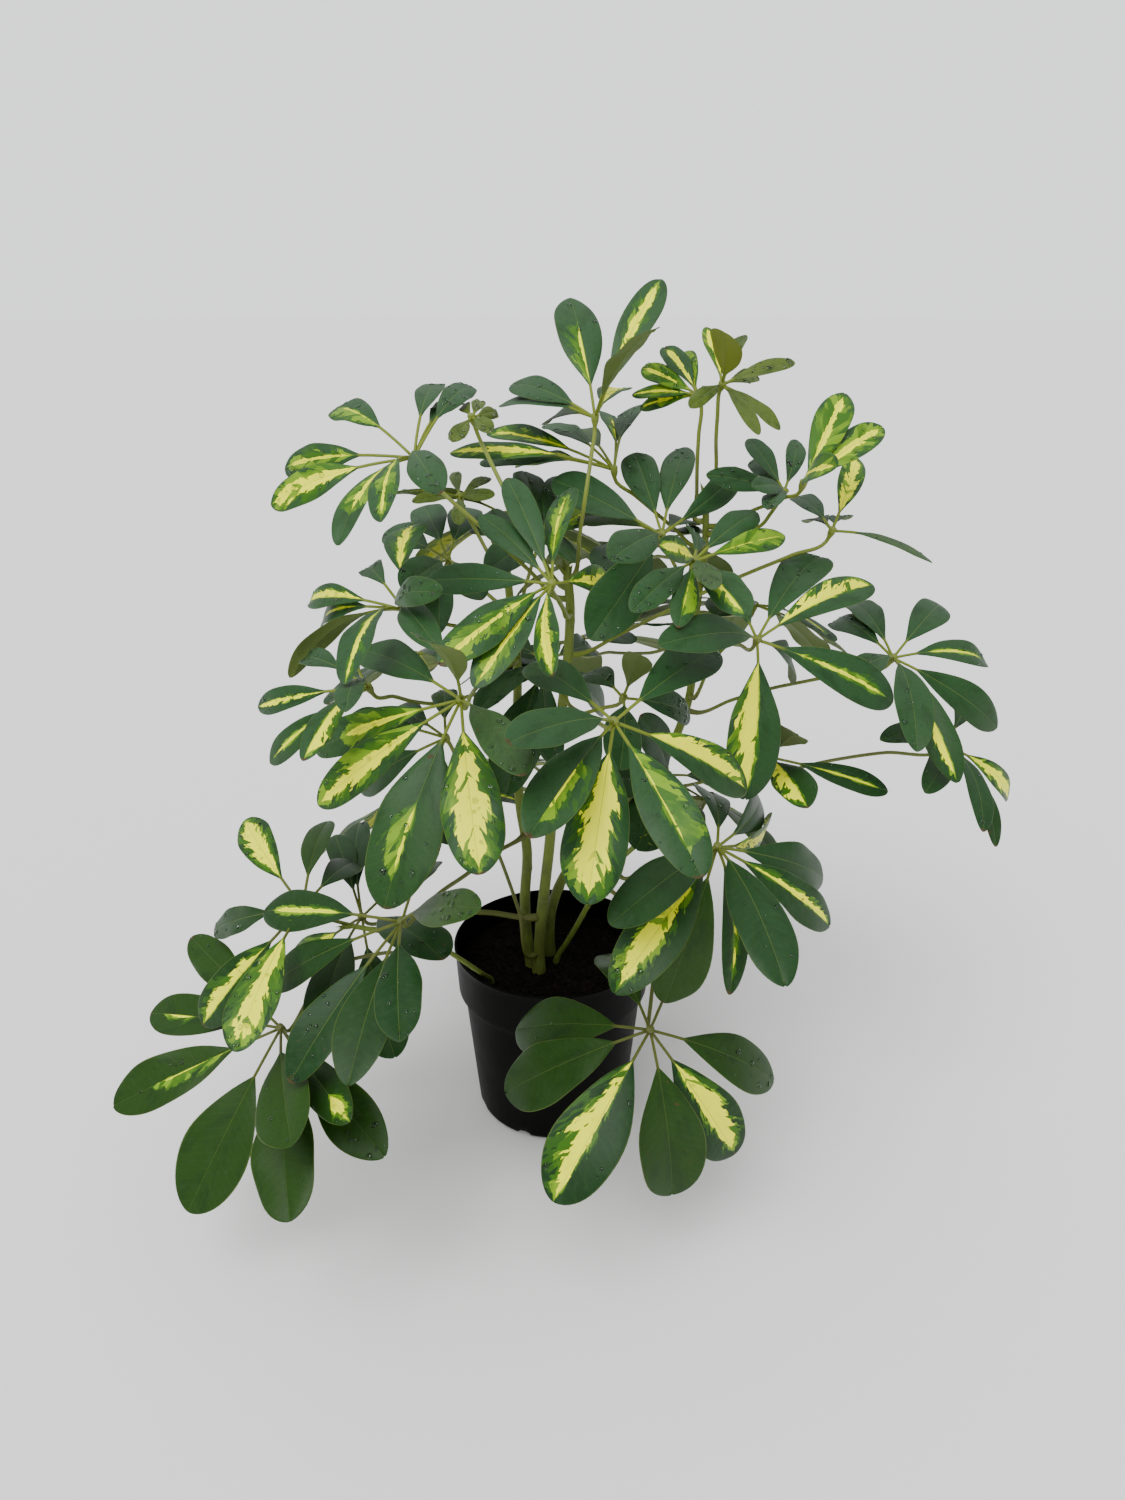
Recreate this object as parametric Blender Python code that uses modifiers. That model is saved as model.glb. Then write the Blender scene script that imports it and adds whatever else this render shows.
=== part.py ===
"""A potted dwarf umbrella tree, in metres, +Z up, its origin under the middle of the pot.

The plant stands as it was seen once, from the front and a little above. A leaf's hub, the way its stalk runs
and the tips of its leaflets are therefore given as points of that view, (right, down) in a frame 1125 wide
and 1500 high, with a depth or a leaflet's real length that sets how far away they are.
"""

import itertools
import math
from typing import NamedTuple

import bmesh
import bpy
import numpy as np
from mathutils.bvhtree import BVHTree

# The pot: a turned shell with a skirted rim, and drain slots round its foot.
POT_HEIGHT = 0.162
RIM_RADIUS = 0.085
SKIRT_HEIGHT = 0.041
STEP_WIDTH = 0.0045
WALL_TOP_RADIUS = 0.0777
FOOT_RADIUS = 0.0665
FOOT_CORNER = 0.006
WALL = 0.0018
FLOOR = 0.004
LIP = 0.0025
LIP_DROP = 0.001
POT_STEPS = 36
SLOT_COUNT = 8
SLOT_WIDTH = 0.013
SLOT_HEIGHT = 0.0065
SLOT_REACH = 0.012

# The soil fills the pot to a little under its rim.
SOIL_TOP = 0.140
SOIL_CROWN = 0.0015
SOIL_RINGS = (0.054, 0.027)
SOIL_LUMP = 0.0016
SOIL_WAVES = (170, 140)
SOIL_EDGE = 0.001
GAP = 0.0003
HOLE_DEPTH = 0.030
HOLE_SIDES = 16
STEM_RISE = 0.005

# The view that the plant was measured in.
VIEW_CENTRE = (562.5, 750.0)
VIEW_FOCAL = 1083.0
VIEW_EYE = np.array((0.0086, -0.799, 0.680))
VIEW_PITCH = math.radians(23.06)
VIEW_RIGHT = np.array((1.0, 0.0, 0.0))
VIEW_AHEAD = np.array((0.0, math.cos(VIEW_PITCH), -math.sin(VIEW_PITCH)))
VIEW_ABOVE = np.array((0.0, math.sin(VIEW_PITCH), math.cos(VIEW_PITCH)))

# Leaf stalks. Where a leaf's facing isn't given, it looks up, outwards and, in front, a little to the light.
FACE_UP = 0.85
FACE_OUT = 0.35
FACE_LIGHT = 0.40
BEHIND = 0.05
STALK_SAG = 0.05
ROUTE_PULL = 0.85
STALK_RADIUS = 0.0015
STALK_FOOT_RADIUS = 0.0025
STALK_RINGS = 5
STALK_LEAVES_STEM = 0.004
KNOB_RADIUS = 0.0031
KNOB_BELOW = 0.0030
KNOB_ABOVE = 0.0024
KNOB_NECK = 0.0035

# Leaflets: a short stalk, then an obovate blade with a ridge, folded up a little along its midrib. The leaf
# table's widths were read a little inside the blades' edges, so they are WIDTH_READ of the widest.
BLADE_RATIO = 0.39
SLIM_RATIO = 0.27
BROAD_RATIO = 0.56
WIDTH_READ = 0.91
BLADE_RISE = 0.90
BLADE_FALL = 0.55
BLADE_WIDEST = BLADE_RISE / (BLADE_RISE + BLADE_FALL)
BLADE_PEAK = BLADE_WIDEST**BLADE_RISE * (1 - BLADE_WIDEST) ** BLADE_FALL
BLADE_STATIONS = (0.0, 0.27, 0.60, 0.88)
YOUNG_STATIONS = (0.0, 0.45, 0.85)
HALF_THICKNESS = 0.0007
LEAFLET_STALK_HALF = 0.0009
LEAFLET_ROOT = 0.0012
FOLD = 0.13
ARCH = 0.07

# How leaflets give way to each other: what they keep clear, and what they may be instead of the usual (longer
# or shorter, turned, more or less drooping, rolled about the midrib, or some points off in the view).
CLEAR_WIDTH = 0.0012
CLEAR_HALF_THICKNESS = 0.0017
CLEAR_STALK = 0.0010
LENGTH_CHOICES = (1.0, 0.95, 1.06, 0.9, 1.12, 0.84, 1.2)
ROLL_CHOICES = np.arange(-75, 76, 15)
OFF_CHOICES = (0, 9, -9, 18, -18)
TURN_CHOICES = (0, 8, -8, 16, -16)
DROOP_CHOICES = (102, 92, 112, 82, 122, 72)
BEND_CHOICES = (0.0, 0.007, -0.007, 0.014, -0.014, 0.022, -0.022)
USUAL_DROOP = 100.0
DROOP_COST = 1 / 40
LENGTH_COST = 4.0
OFF_COST = 1 / 12
ROLL_COST = 1 / 60
WIDTH_COST = 2.6
SIDE_COST = 2.0

# A whorl made by rule: its leaflets' number, and how much they vary (in leaflets, shares and degrees).
RULE_LEAFLETS = 7
RULE_SHIFT = 0.15
RULE_LENGTHS = (0.88, 1.06)
RULE_SINK = (-6.0, 10.0)
RULE_COST = 1 / 20

NEAR = "near"
FAR = "far"
UNDER = "underside seen"
OTHER_SIDE = {NEAR: FAR, FAR: NEAR}


class Stem(NamedTuple):
    """A stem: where it leaves the soil (x, y), the points it passes as (right, down, depth), and its radii."""

    foot: tuple
    route: list
    thick: float
    thin: float
    colour: tuple


class Leaf(NamedTuple):
    """A compound leaf: its hub in the view and that hub's depth, the stem and height it grows from, its
    leaflets' length and the share of it that is stalk, each leaflet's tip and width in the view (none: a
    whorl made by rule), the points that its stalk passes, the direction that it faces, and how high its
    leaflets arch, as a share of their length."""

    hub: tuple
    depth: float
    stem: str
    height: float
    length: float
    stalk: float
    tips: list
    route: tuple = ()
    faces: tuple = ()
    young: bool = False
    arch: float = ARCH


BARK = (0.115, 0.125, 0.030)
GREEN_STEM = (0.150, 0.190, 0.040)

STEMS = {
    "stem_main": Stem(
        (-0.0115, -0.015),
        [(540, 935, -0.014), (545, 885, -0.015), (549, 850, -0.017), (555, 780, -0.024), (563, 700, -0.034),
         (569, 640, -0.040), (570, 600, -0.044), (566, 568, -0.046)],
        0.0050, 0.0033, BARK,
    ),
    "stem_left": Stem(
        (-0.0185, -0.006),
        [(527, 935, -0.003), (525, 900, 0.0), (527, 850, 0.002), (520, 805, 0.006), (517, 735, 0.009),
         (517, 660, 0.012), (510, 600, 0.015), (506, 560, 0.018)],
        0.0049, 0.0030, BARK,
    ),
    "stem_right": Stem(
        (-0.003, 0.011),
        [(551, 912, 0.014), (562, 880, 0.017), (590, 843, 0.022), (622, 812, 0.028), (655, 775, 0.034),
         (686, 709, 0.040), (697, 606, 0.042), (705, 545, 0.044), (706, 494, 0.045)],
        0.0048, 0.0026, BARK,
    ),
    "shoot_right": Stem(
        (0.004, -0.003),
        [(573, 932, -0.012), (590, 902, -0.026), (618, 862, -0.052), (642, 840, -0.076)],
        0.0024, 0.0020, GREEN_STEM,
    ),
    "shoot_low_left": Stem(
        (-0.052, -0.0345),
        [(480, 972, -0.054), (457, 957, -0.076), (437, 945, -0.092), (385, 932, -0.112), (345, 925, -0.120)],
        0.0021, 0.0018, GREEN_STEM,
    ),
}

LEAVES = {
    "leaf_front_gold": Leaf(
        (614, 722), -0.17, "stem_main", 0.400, 0.125, 0.20,
        [(587, 905, 62), (747, 790, 46), (702, 878, 52), (507, 743, 38), (528, 665, 42), (528, 838, 50),
         (716, 650, 50)],
        faces=(0.0, -0.70, 0.70),
    ),
    "leaf_left_gold": Leaf(
        (461, 700), -0.15, "stem_left", 0.412, 0.125, 0.22,
        [(480, 875, 58), (316, 750, 40), (318, 805, 42), (384, 909, 60), (362, 650, 44), (523, 776, 36),
         (420, 640, 24, UNDER)],
        route=((498, 672),), faces=(-0.10, -0.60, 0.80),
    ),
    "leaf_centre_high": Leaf(
        (552, 584), -0.10, "stem_main", 0.466, 0.102, 0.17,
        [(425, 581, 32), (438, 665, 39), (474, 688, 36), (553, 676, 22), (507, 487, 30), (480, 524, 28),
         (614, 585, 34), (580, 488, 24)],
        faces=(0.0, -0.70, 0.70),
    ),
    "leaf_bottom_right": Leaf(
        (650, 1030), -0.17, "shoot_right", 0.246, 0.130, 0.20,
        [(553, 1202, 62), (672, 1195, 65), (735, 1154, 56), (505, 1093, 58), (516, 1030, 57), (774, 1080, 50),
         (605, 955, 40), (693, 925, 40)],
        route=((652, 925), (652, 985)), faces=(0.10, -0.60, 0.80), arch=0.09,
    ),
    "leaf_right_low": Leaf(
        (717, 847), -0.15, "shoot_right", 0.262, 0.125, 0.17,
        [(614, 994, 52), (664, 1003, 54, FAR), (729, 995, 24), (786, 987, 48), (830, 926, 34), (823, 878, 44),
         (610, 925, 45), (755, 790, 26), (700, 790, 26), (765, 818, 20)],
        faces=(0.10, -0.60, 0.80), arch=0.10,
    ),
    "leaf_left_low": Leaf(
        (402, 922), -0.165, "stem_left", 0.262, 0.125, 0.30,
        [(290, 1083, 44), (348, 1086, 46), (270, 985, 38), (264, 911, 44), (400, 1042, 44), (481, 908, 36),
         (434, 862, 24)],
        route=((500, 850), (473, 870), (437, 895)), faces=(-0.10, -0.60, 0.80),
    ),
    "leaf_left_high": Leaf(
        (414, 458), -0.02, "stem_main", 0.476, 0.116, 0.33,
        [(271, 505, 36), (285, 468, 34), (335, 409, 34), (338, 546, 21), (381, 522, 20), (441, 494, 30, NEAR),
         (438, 384, 27, FAR), (471, 386, 28, FAR), (463, 405, 22, FAR)],
        route=((485, 530), (440, 490)), faces=(-0.30, -0.45, 0.85), arch=0.12,
    ),
    "leaf_top_centre": Leaf(
        (595, 418), 0.0, "stem_main", 0.490, 0.116, 0.22,
        [(661, 279, 31, FAR), (570, 298, 44, FAR), (657, 328, 17, NEAR, UNDER), (512, 384, 27), (501, 405, 19),
         (549, 423, 14), (623, 391, 20)],
        route=((589, 472),), faces=(0.0, -0.15, 0.98),
    ),
    "leaf_right_mid": Leaf(
        (757, 640), -0.06, "stem_right", 0.372, 0.120, 0.15,
        [(893, 702, 42), (745, 800, 54, FAR), (873, 585, 36), (821, 557, 42), (658, 645, 34), (715, 590, 28),
         (788, 677, 17)],
        route=((716, 656),), faces=(0.20, -0.50, 0.85), arch=0.10,
    ),
    "leaf_right_edge": Leaf(
        (893, 658), 0.02, "stem_right", 0.359, 0.115, 0.17,
        [(997, 728, 34), (958, 783, 31), (986, 663, 25), (940, 605, 34), (917, 752, 33), (833, 622, 29),
         (850, 605, 30), (847, 688, 22)],
        route=((765, 690), (838, 675)), faces=(0.30, -0.30, 0.85), arch=0.12,
    ),
    "leaf_bottom_left": Leaf(
        (281, 1028), -0.15, "shoot_low_left", 0.222, 0.142, 0.27,
        [(188, 1212, 68), (290, 1222, 58), (113, 1106, 48), (385, 1157, 52), (292, 1146, 56), (350, 1122, 38),
         (151, 1013, 44), (191, 937, 38)],
        route=((340, 965),), faces=(-0.30, -0.50, 0.80), arch=0.03,
    ),
    "leaf_left_outer": Leaf(
        (303, 908), -0.12, "shoot_low_left", 0.236, 0.122, 0.27,
        [(235, 1052, 46), (203, 1025, 40), (245, 820, 36), (328, 821, 27), (214, 930, 30), (355, 862, 26)],
        faces=(-0.35, -0.45, 0.80),
    ),
    "leaf_left_inner": Leaf(
        (362, 917), -0.06, "stem_main", 0.193, 0.122, 0.25,
        [(395, 1058, 50), (443, 960, 44), (434, 862, 26), (350, 805, 30), (335, 835, 28), (318, 1035, 42),
         (290, 975, 32)],
        route=((480, 912),), faces=(-0.25, -0.35, 0.85),
    ),
    "leaf_left_back": Leaf(
        (446, 738), -0.08, "stem_main", 0.158, 0.105, 0.25,
        [(425, 835, 40), (360, 790, 34), (345, 720, 30), (445, 690, 24), (395, 700, 28)],
        route=((517, 905), (499, 855)),
    ),
    "leaf_far_left": Leaf(
        (369, 688), -0.09, "stem_left", 0.395, 0.102, 0.30,
        [(270, 763, 27), (258, 707, 24), (303, 761, 23), (303, 660, 24), (346, 712, 16), (375, 655, 10)],
        route=((448, 702), (385, 695)), faces=(-0.30, -0.45, 0.85), arch=0.12,
    ),
    "leaf_left_mid": Leaf(
        (404, 610), -0.04, "stem_left", 0.436, 0.108, 0.28,
        [(290, 678, 24, UNDER), (345, 685, 25), (310, 602, 24), (323, 622, 22), (415, 525, 42), (370, 570, 24),
         (443, 592, 26), (440, 650, 28)],
        arch=0.15,
    ),
    "leaf_left_rear": Leaf(
        (448, 560), 0.05, "stem_left", 0.455, 0.100, 0.25,
        [(385, 532, 34), (424, 506, 36), (470, 508, 32), (402, 590, 34), (482, 600, 30), (440, 634, 28)],
    ),
    "leaf_centre_right": Leaf(
        (662, 535), -0.01, "stem_right", 0.452, 0.112, 0.20,
        [(590, 640, 48), (553, 480, 36), (625, 462, 36), (704, 447, 31), (742, 470, 28), (580, 517, 24),
         (610, 560, 34), (690, 525, 20)],
    ),
    "leaf_centre_right_front": Leaf(
        (693, 562), -0.06, "stem_right", 0.470, 0.085, 0.20,
        [(747, 617, 34), (678, 628, 25), (785, 536, 25), (757, 512, 30), (632, 612, 30), (712, 590, 20),
         (658, 545, 24), (690, 520, 16)],
        faces=(0.10, -0.55, 0.80),
    ),
    "leaf_centre_back": Leaf(
        (614, 470), 0.04, "stem_right", 0.494, 0.126, 0.33,
        [(450, 453, 20), (487, 433, 20), (480, 462, 17), (517, 465, 15), (607, 413, 19), (640, 405, 20),
         (575, 430, 20), (545, 425, 18)],
        route=((650, 508),), faces=(-0.10, -0.20, 0.95),
    ),
    "leaf_front_dark": Leaf(
        (623, 698), -0.07, "stem_main", 0.384, 0.090, 0.20,
        [(690, 715, 34), (620, 770, 36), (590, 672, 30), (640, 655, 28, UNDER)],
    ),
    "leaf_middle": Leaf(
        (546, 662), 0.03, "stem_main", 0.420, 0.112, 0.20,
        [(478, 712, 34), (507, 795, 46), (604, 712, 32), (500, 640, 30), (592, 648, 30), (560, 765, 34)],
    ),
    "leaf_top_middle": Leaf(
        (538, 543), 0.045, "stem_left", 0.447, 0.098, 0.20,
        [(524, 471, 34), (563, 477, 32), (473, 523, 32), (487, 572, 32), (600, 505, 28), (548, 500, 24)],
    ),
    "leaf_middle_low": Leaf(
        (668, 775), 0.02, "stem_right", 0.302, 0.108, 0.20,
        [(636, 850, 44), (590, 790, 36), (735, 800, 30), (640, 715, 30), (690, 850, 34)],
    ),
    "leaf_right_stub": Leaf(
        (768, 757), -0.02, "stem_right", 0.330, 0.100, 0.25,
        [(888, 792, 22), (808, 808, 34), (797, 735, 28, UNDER), (760, 700, 26)],
    ),
    "leaf_far_right": Leaf(
        (945, 745), 0.03, "stem_right", 0.300, 0.105, 0.20,
        [(1008, 798, 22), (996, 847, 15), (983, 832, 18), (925, 793, 26), (880, 740, 20), (960, 700, 24)],
        route=((765, 775), (860, 755)), arch=0.13,
    ),
    "leaf_right_top_back": Leaf(
        (832, 531), 0.03, "stem_main", 0.432, 0.095, 0.20,
        [(932, 562, 10), (857, 458, 25), (795, 497, 18), (845, 520, 12), (808, 523, 12)],
        route=((665, 612), (705, 592), (808, 548)), faces=(0.30, -0.20, 0.90),
    ),
    "leaf_right_high": Leaf(
        (803, 484), 0.0, "stem_right", 0.504, 0.088, 0.12,
        [(845, 393, 34), (883, 427, 31), (838, 466, 28, NEAR)],
        route=((762, 525), (780, 500)), faces=(0.20, -0.30, 0.90), young=True,
    ),
    "leaf_right_young": Leaf(
        (784, 492), 0.04, "stem_right", 0.510, 0.070, 0.15,
        [(706, 475, 22), (748, 439, 20), (752, 460, 18), (797, 440, 20), (752, 487, 14), (768, 510, 14)],
        young=True,
    ),
    "leaf_top_young": Leaf(
        (698, 395), 0.05, "stem_right", 0.514, 0.056, 0.15,
        [(632, 395, 14), (642, 368, 20), (664, 347, 22), (640, 408, 14), (684, 352, 20)],
        route=((697, 470),), young=True,
    ),
    "leaf_top_tip": Leaf(
        (722, 385), 0.035, "stem_right", 0.524, 0.056, 0.15,
        [(795, 362, 14), (724, 332, 30, NEAR, UNDER), (706, 327, 18), (745, 335, 12), (759, 435, 14),
         (780, 430, 13), (758, 376, 16), (690, 408, 14)],
        route=((716, 480), (716, 440)), young=True,
    ),
    "leaf_left_bud": Leaf(
        (472, 418), 0.02, "stem_main", 0.484, 0.034, 0.20,
        [(452, 442, 16), (455, 405, 12), (481, 401, 13), (497, 412, 14), (492, 432, 15)],
        route=((503, 487),), young=True,
    ),
    "leaf_left_young": Leaf(
        (460, 497), 0.055, "stem_left", 0.475, 0.045, 0.15,
        [(412, 502, 10), (455, 472, 12), (490, 478, 10), (495, 495, 12), (460, 525, 14)],
        young=True,
    ),
    "leaf_back_left_top": Leaf((505, 515), 0.13, "stem_left", 0.462, 0.115, 0.22, []),
    "leaf_back_top": Leaf((640, 545), 0.14, "stem_right", 0.484, 0.120, 0.22, []),
    "leaf_back_right": Leaf((755, 605), 0.13, "stem_right", 0.440, 0.120, 0.22, []),
    "leaf_back_left": Leaf((415, 655), 0.12, "stem_left", 0.424, 0.120, 0.22, []),
    "leaf_back_middle": Leaf((575, 640), 0.19, "stem_right", 0.410, 0.125, 0.22, []),
    "leaf_back_low_left": Leaf((425, 790), 0.12, "stem_left", 0.300, 0.120, 0.22, []),
    "leaf_back_low": Leaf((590, 770), 0.17, "stem_left", 0.320, 0.120, 0.22, []),
    "leaf_back_low_right": Leaf((705, 800), 0.12, "stem_right", 0.265, 0.120, 0.22, []),
}

SKIN = {
    "pot": ((0.010, 0.010, 0.011), 0.42),
    "soil": ((0.012, 0.008, 0.006), 0.95),
    "leaf": ((0.050, 0.105, 0.035), 0.38),
    "young": ((0.140, 0.210, 0.050), 0.40),
}

parts = bpy.data.collections.new("potted_dwarf_umbrella_tree")
cutters = bpy.data.collections.new("cutters")


def unit(vector):
    """The vector at length 1."""
    return vector / np.linalg.norm(vector)


def sight(point):
    """The direction in which the eye sees a point of the view."""
    across = (point[0] - VIEW_CENTRE[0]) / VIEW_FOCAL
    up = (VIEW_CENTRE[1] - point[1]) / VIEW_FOCAL
    return unit(VIEW_AHEAD + across * VIEW_RIGHT + up * VIEW_ABOVE)


def seen(point, depth):
    """The place that is seen at a point of the view and lies at y = depth."""
    line = sight(point)
    return VIEW_EYE + line * ((depth - VIEW_EYE[1]) / line[1])


def smooth_route(points, count):
    """Points at even steps along a smooth curve through the given ones: cubic pieces whose slopes agree."""
    points = np.asarray(points, float)
    gaps = np.linalg.norm(np.diff(points, axis=0), axis=1)
    knots = np.concatenate([[0.0], np.cumsum(gaps)])
    slopes = np.gradient(points, knots, axis=0)
    wanted = np.linspace(0.0, knots[-1], count)
    piece = np.clip(np.searchsorted(knots, wanted, side="right") - 1, 0, len(gaps) - 1)
    width = gaps[piece][:, None]
    part = ((wanted - knots[piece]) / gaps[piece])[:, None]
    start = (1 + 2 * part) * (1 - part) ** 2 * points[piece]
    end = part**2 * (3 - 2 * part) * points[piece + 1]
    leave = part * (1 - part) ** 2 * width * slopes[piece]
    arrive = part**2 * (part - 1) * width * slopes[piece + 1]
    return start + end + leave + arrive


def stem_route(stem):
    """A stem's points, from the bottom of its hole in the soil, upright out of it, and on to its top."""
    buried = (*stem.foot, SOIL_TOP - HOLE_DEPTH + GAP)
    foot = (*stem.foot, SOIL_TOP + STEM_RISE)
    above = smooth_route([foot] + [seen(point[:2], point[2]) for point in stem.route], 3 * len(stem.route))
    return np.vstack([buried, above])


def stem_radii(stem, count):
    """A stem's radius at each of its points: it tapers evenly."""
    return np.linspace(stem.thick, stem.thin, count)


def stem_at(stem, height):
    """The middle, the direction and the radius of a stem at a height."""
    route = stem_route(stem)
    radii = stem_radii(stem, len(route))
    after = int(np.argmax(route[:, 2] >= height)) or len(route) - 1
    share = (height - route[after - 1, 2]) / (route[after, 2] - route[after - 1, 2])
    middle = route[after - 1] + share * (route[after] - route[after - 1])
    radius = radii[after - 1] + share * (radii[after] - radii[after - 1])
    return middle, unit(route[after] - route[after - 1]), radius


def facing(leaf, hub, foot):
    """The direction a leaf faces: as given, or up, outwards and, in front, a little towards the light."""
    if leaf.faces:
        return unit(np.array(leaf.faces))
    outward = unit((hub - foot) * (1, 1, 0))
    light = FACE_LIGHT if leaf.depth < BEHIND else 0.0
    return unit(np.array((0.0, -light, FACE_UP)) + FACE_OUT * outward)


def tube_shape(points, radii, sides=4):
    """Corners and faces of a closed tube round a line of points, for testing what is in its way."""
    ahead = np.gradient(points, axis=0)
    ahead /= np.linalg.norm(ahead, axis=1)[:, None]
    across = np.cross(ahead, (0.3, 1.0, 0.2))
    across /= np.linalg.norm(across, axis=1)[:, None]
    over = np.cross(ahead, across)
    turn = np.arange(sides) * (2 * math.pi / sides)
    ring = np.cos(turn)[None, :, None] * across[:, None] + np.sin(turn)[None, :, None] * over[:, None]
    corners = (points[:, None] + ring * np.asarray(radii)[:, None, None]).reshape(-1, 3)
    faces = []
    for step, side in itertools.product(range(len(points) - 1), range(sides)):
        low = step * sides + side
        next_low = step * sides + (side + 1) % sides
        faces.append((low, next_low, next_low + sides, low + sides))
    faces.append(tuple(range(sides)))
    faces.append(tuple(range(len(corners) - sides, len(corners))))
    return corners, faces


def blade_width(share):
    """A blade's half-width along it, as a share of the widest: a power of the way out times one of the rest."""
    return share**BLADE_RISE * (1 - share) ** BLADE_FALL / BLADE_PEAK


def leaflet_shape(hub, leaflet, stalk, stations, extra=0.0, half_thickness=HALF_THICKNESS, whole=True):
    """Corners and faces of a leaflet: four-sided rings along an arched midrib, from root to tip.

    A ring has its two edges, lifted by the fold, and the midrib's upper and lower line. With whole=False it is
    the blade alone.
    """
    tip, top, ratio, arch = leaflet
    length = np.linalg.norm(tip - hub)
    ahead = (tip - hub) / length
    over = unit(top - (top @ ahead) * ahead)
    across = np.cross(ahead, over)
    blade = (1 - stalk) * length
    shares = np.array(stations)
    along = stalk + (1 - stalk) * shares
    half = blade * ratio / 2 * blade_width(np.maximum(shares, 1e-9))
    half = np.maximum(half, LEAFLET_STALK_HALF) + extra
    if whole:
        along = np.concatenate([[LEAFLET_ROOT / length], along])
        half = np.concatenate([[LEAFLET_STALK_HALF + extra], half])
    rise = 4 * arch * length * along * (1 - along)
    slope = 4 * arch * (1 - 2 * along)
    middle = hub + along[:, None] * length * ahead + rise[:, None] * over
    lift = over - slope[:, None] * ahead
    lift /= np.linalg.norm(lift, axis=1)[:, None]
    fold = FOLD * half[:, None] * lift
    edge = half[:, None] * across
    ridge = half_thickness * lift
    rings = np.stack([middle - edge + fold, middle + ridge, middle + edge + fold, middle - ridge], axis=1)
    corners = np.vstack([rings.reshape(-1, 3), tip])
    faces = [(0, 1, 2), (0, 2, 3)]
    for low in range(0, 4 * (len(rings) - 1), 4):
        left, upper, right, lower = range(low, low + 4)
        faces += [(left, left + 4, upper + 4), (left, upper + 4, upper)]
        faces += [(upper, upper + 4, right + 4), (upper, right + 4, right)]
        faces += [(right, right + 4, lower + 4), (right, lower + 4, lower)]
        faces += [(lower, lower + 4, left + 4), (lower, left + 4, left)]
    last = len(corners) - 5
    for side in range(4):
        faces.append((last + side, len(corners) - 1, last + (side + 1) % 4))
    return corners, faces


class Space:
    """What already stands somewhere, so that what comes later can keep clear of it."""

    def __init__(self):
        self.held = []

    def add(self, owner, kind, shape):
        """Takes a shape's place."""
        corners, faces = shape
        tree = BVHTree.FromPolygons(corners.tolist(), faces)
        self.held.append((owner, kind, corners.min(axis=0), corners.max(axis=0), tree))

    def is_free(self, shape, ignore):
        """Whether a shape touches nothing, apart from what `ignore` names as (owner, kind)."""
        corners, faces = shape
        low, high = corners.min(axis=0), corners.max(axis=0)
        tree = None
        for owner, kind, other_low, other_high, other in self.held:
            if (owner, kind) in ignore or (low > other_high).any() or (high < other_low).any():
                continue
            if tree is None:
                tree = BVHTree.FromPolygons(corners.tolist(), faces)
            if tree.overlap(other):
                return False
        return True


def turned(vector, axis, degrees):
    """The vector turned about a unit axis."""
    angle = math.radians(degrees)
    along = (axis @ vector) * axis
    return along + math.cos(angle) * (vector - along) + math.sin(angle) * np.cross(axis, vector)


def stalk_points(leaf, bend, lift):
    """A leaf's hub, the direction it faces and its stalk's points, bowed sideways and upwards in its middle."""
    hub = seen(leaf.hub, leaf.depth)
    middle, ahead, radius = stem_at(STEMS[leaf.stem], leaf.height)
    face = facing(leaf, hub, middle)
    towards = hub - middle
    towards = unit(towards - (towards @ ahead) * ahead)
    foot = middle + towards * (radius + GAP)
    points = [foot, foot + towards * STALK_LEAVES_STEM]
    spans = [np.linalg.norm(np.subtract(point, leaf.hub)) for point in leaf.route]
    for point, span in zip(leaf.route, spans):
        share = ROUTE_PULL * span / spans[0]
        points.append(seen(point, leaf.depth + share * (foot[1] - leaf.depth)))
    if not leaf.route:
        half_way = (foot + hub) / 2 - (0.0, 0.0, STALK_SAG * np.linalg.norm(hub - foot))
        points.append(half_way)
    neck = hub - face * (KNOB_BELOW + KNOB_NECK)
    side = unit(np.cross(neck - foot, (0.0, 0.0, 1.0)))
    for place in range(2, len(points)):
        points[place] = points[place] + side * bend + (0.0, 0.0, lift)
    points.append(neck)
    route = smooth_route(points[1:], STALK_RINGS - 1 + len(leaf.route))
    return hub, face, np.vstack([foot, route, hub - face * KNOB_BELOW, hub + face * KNOB_ABOVE])


def stalk_radii(count):
    """A leaf stalk's radii: thick where it clasps the stem, slim, then a knob that carries the leaflets."""
    radii = np.full(count, STALK_RADIUS)
    radii[0] = STALK_FOOT_RADIUS
    radii[-2:] = KNOB_RADIUS
    return radii


def place_stalk(name, leaf, space):
    """The hub, facing and stalk of a leaf, with the least bend that keeps its stalk clear."""
    bends = sorted(itertools.product(BEND_CHOICES, repeat=2), key=lambda pair: abs(pair[0]) + abs(pair[1]))
    for bend, lift in bends:
        hub, face, points = stalk_points(leaf, bend, lift)
        radii = stalk_radii(len(points)) + CLEAR_STALK
        if space.is_free(tube_shape(points[1:], radii[1:]), set()):
            break
    else:
        hub, face, points = stalk_points(leaf, 0.0, 0.0)
    space.add(name, "stalk", tube_shape(points, stalk_radii(len(points)) + CLEAR_STALK))
    return hub, face, points


def in_view(places):
    """The points of the view, (right, down), at which places are seen."""
    away = places - VIEW_EYE
    scale = VIEW_FOCAL / (away @ VIEW_AHEAD)
    right = VIEW_CENTRE[0] + scale * (away @ VIEW_RIGHT)
    down = VIEW_CENTRE[1] - scale * (away @ VIEW_ABOVE)
    return np.stack([right, down], axis=-1)


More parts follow.
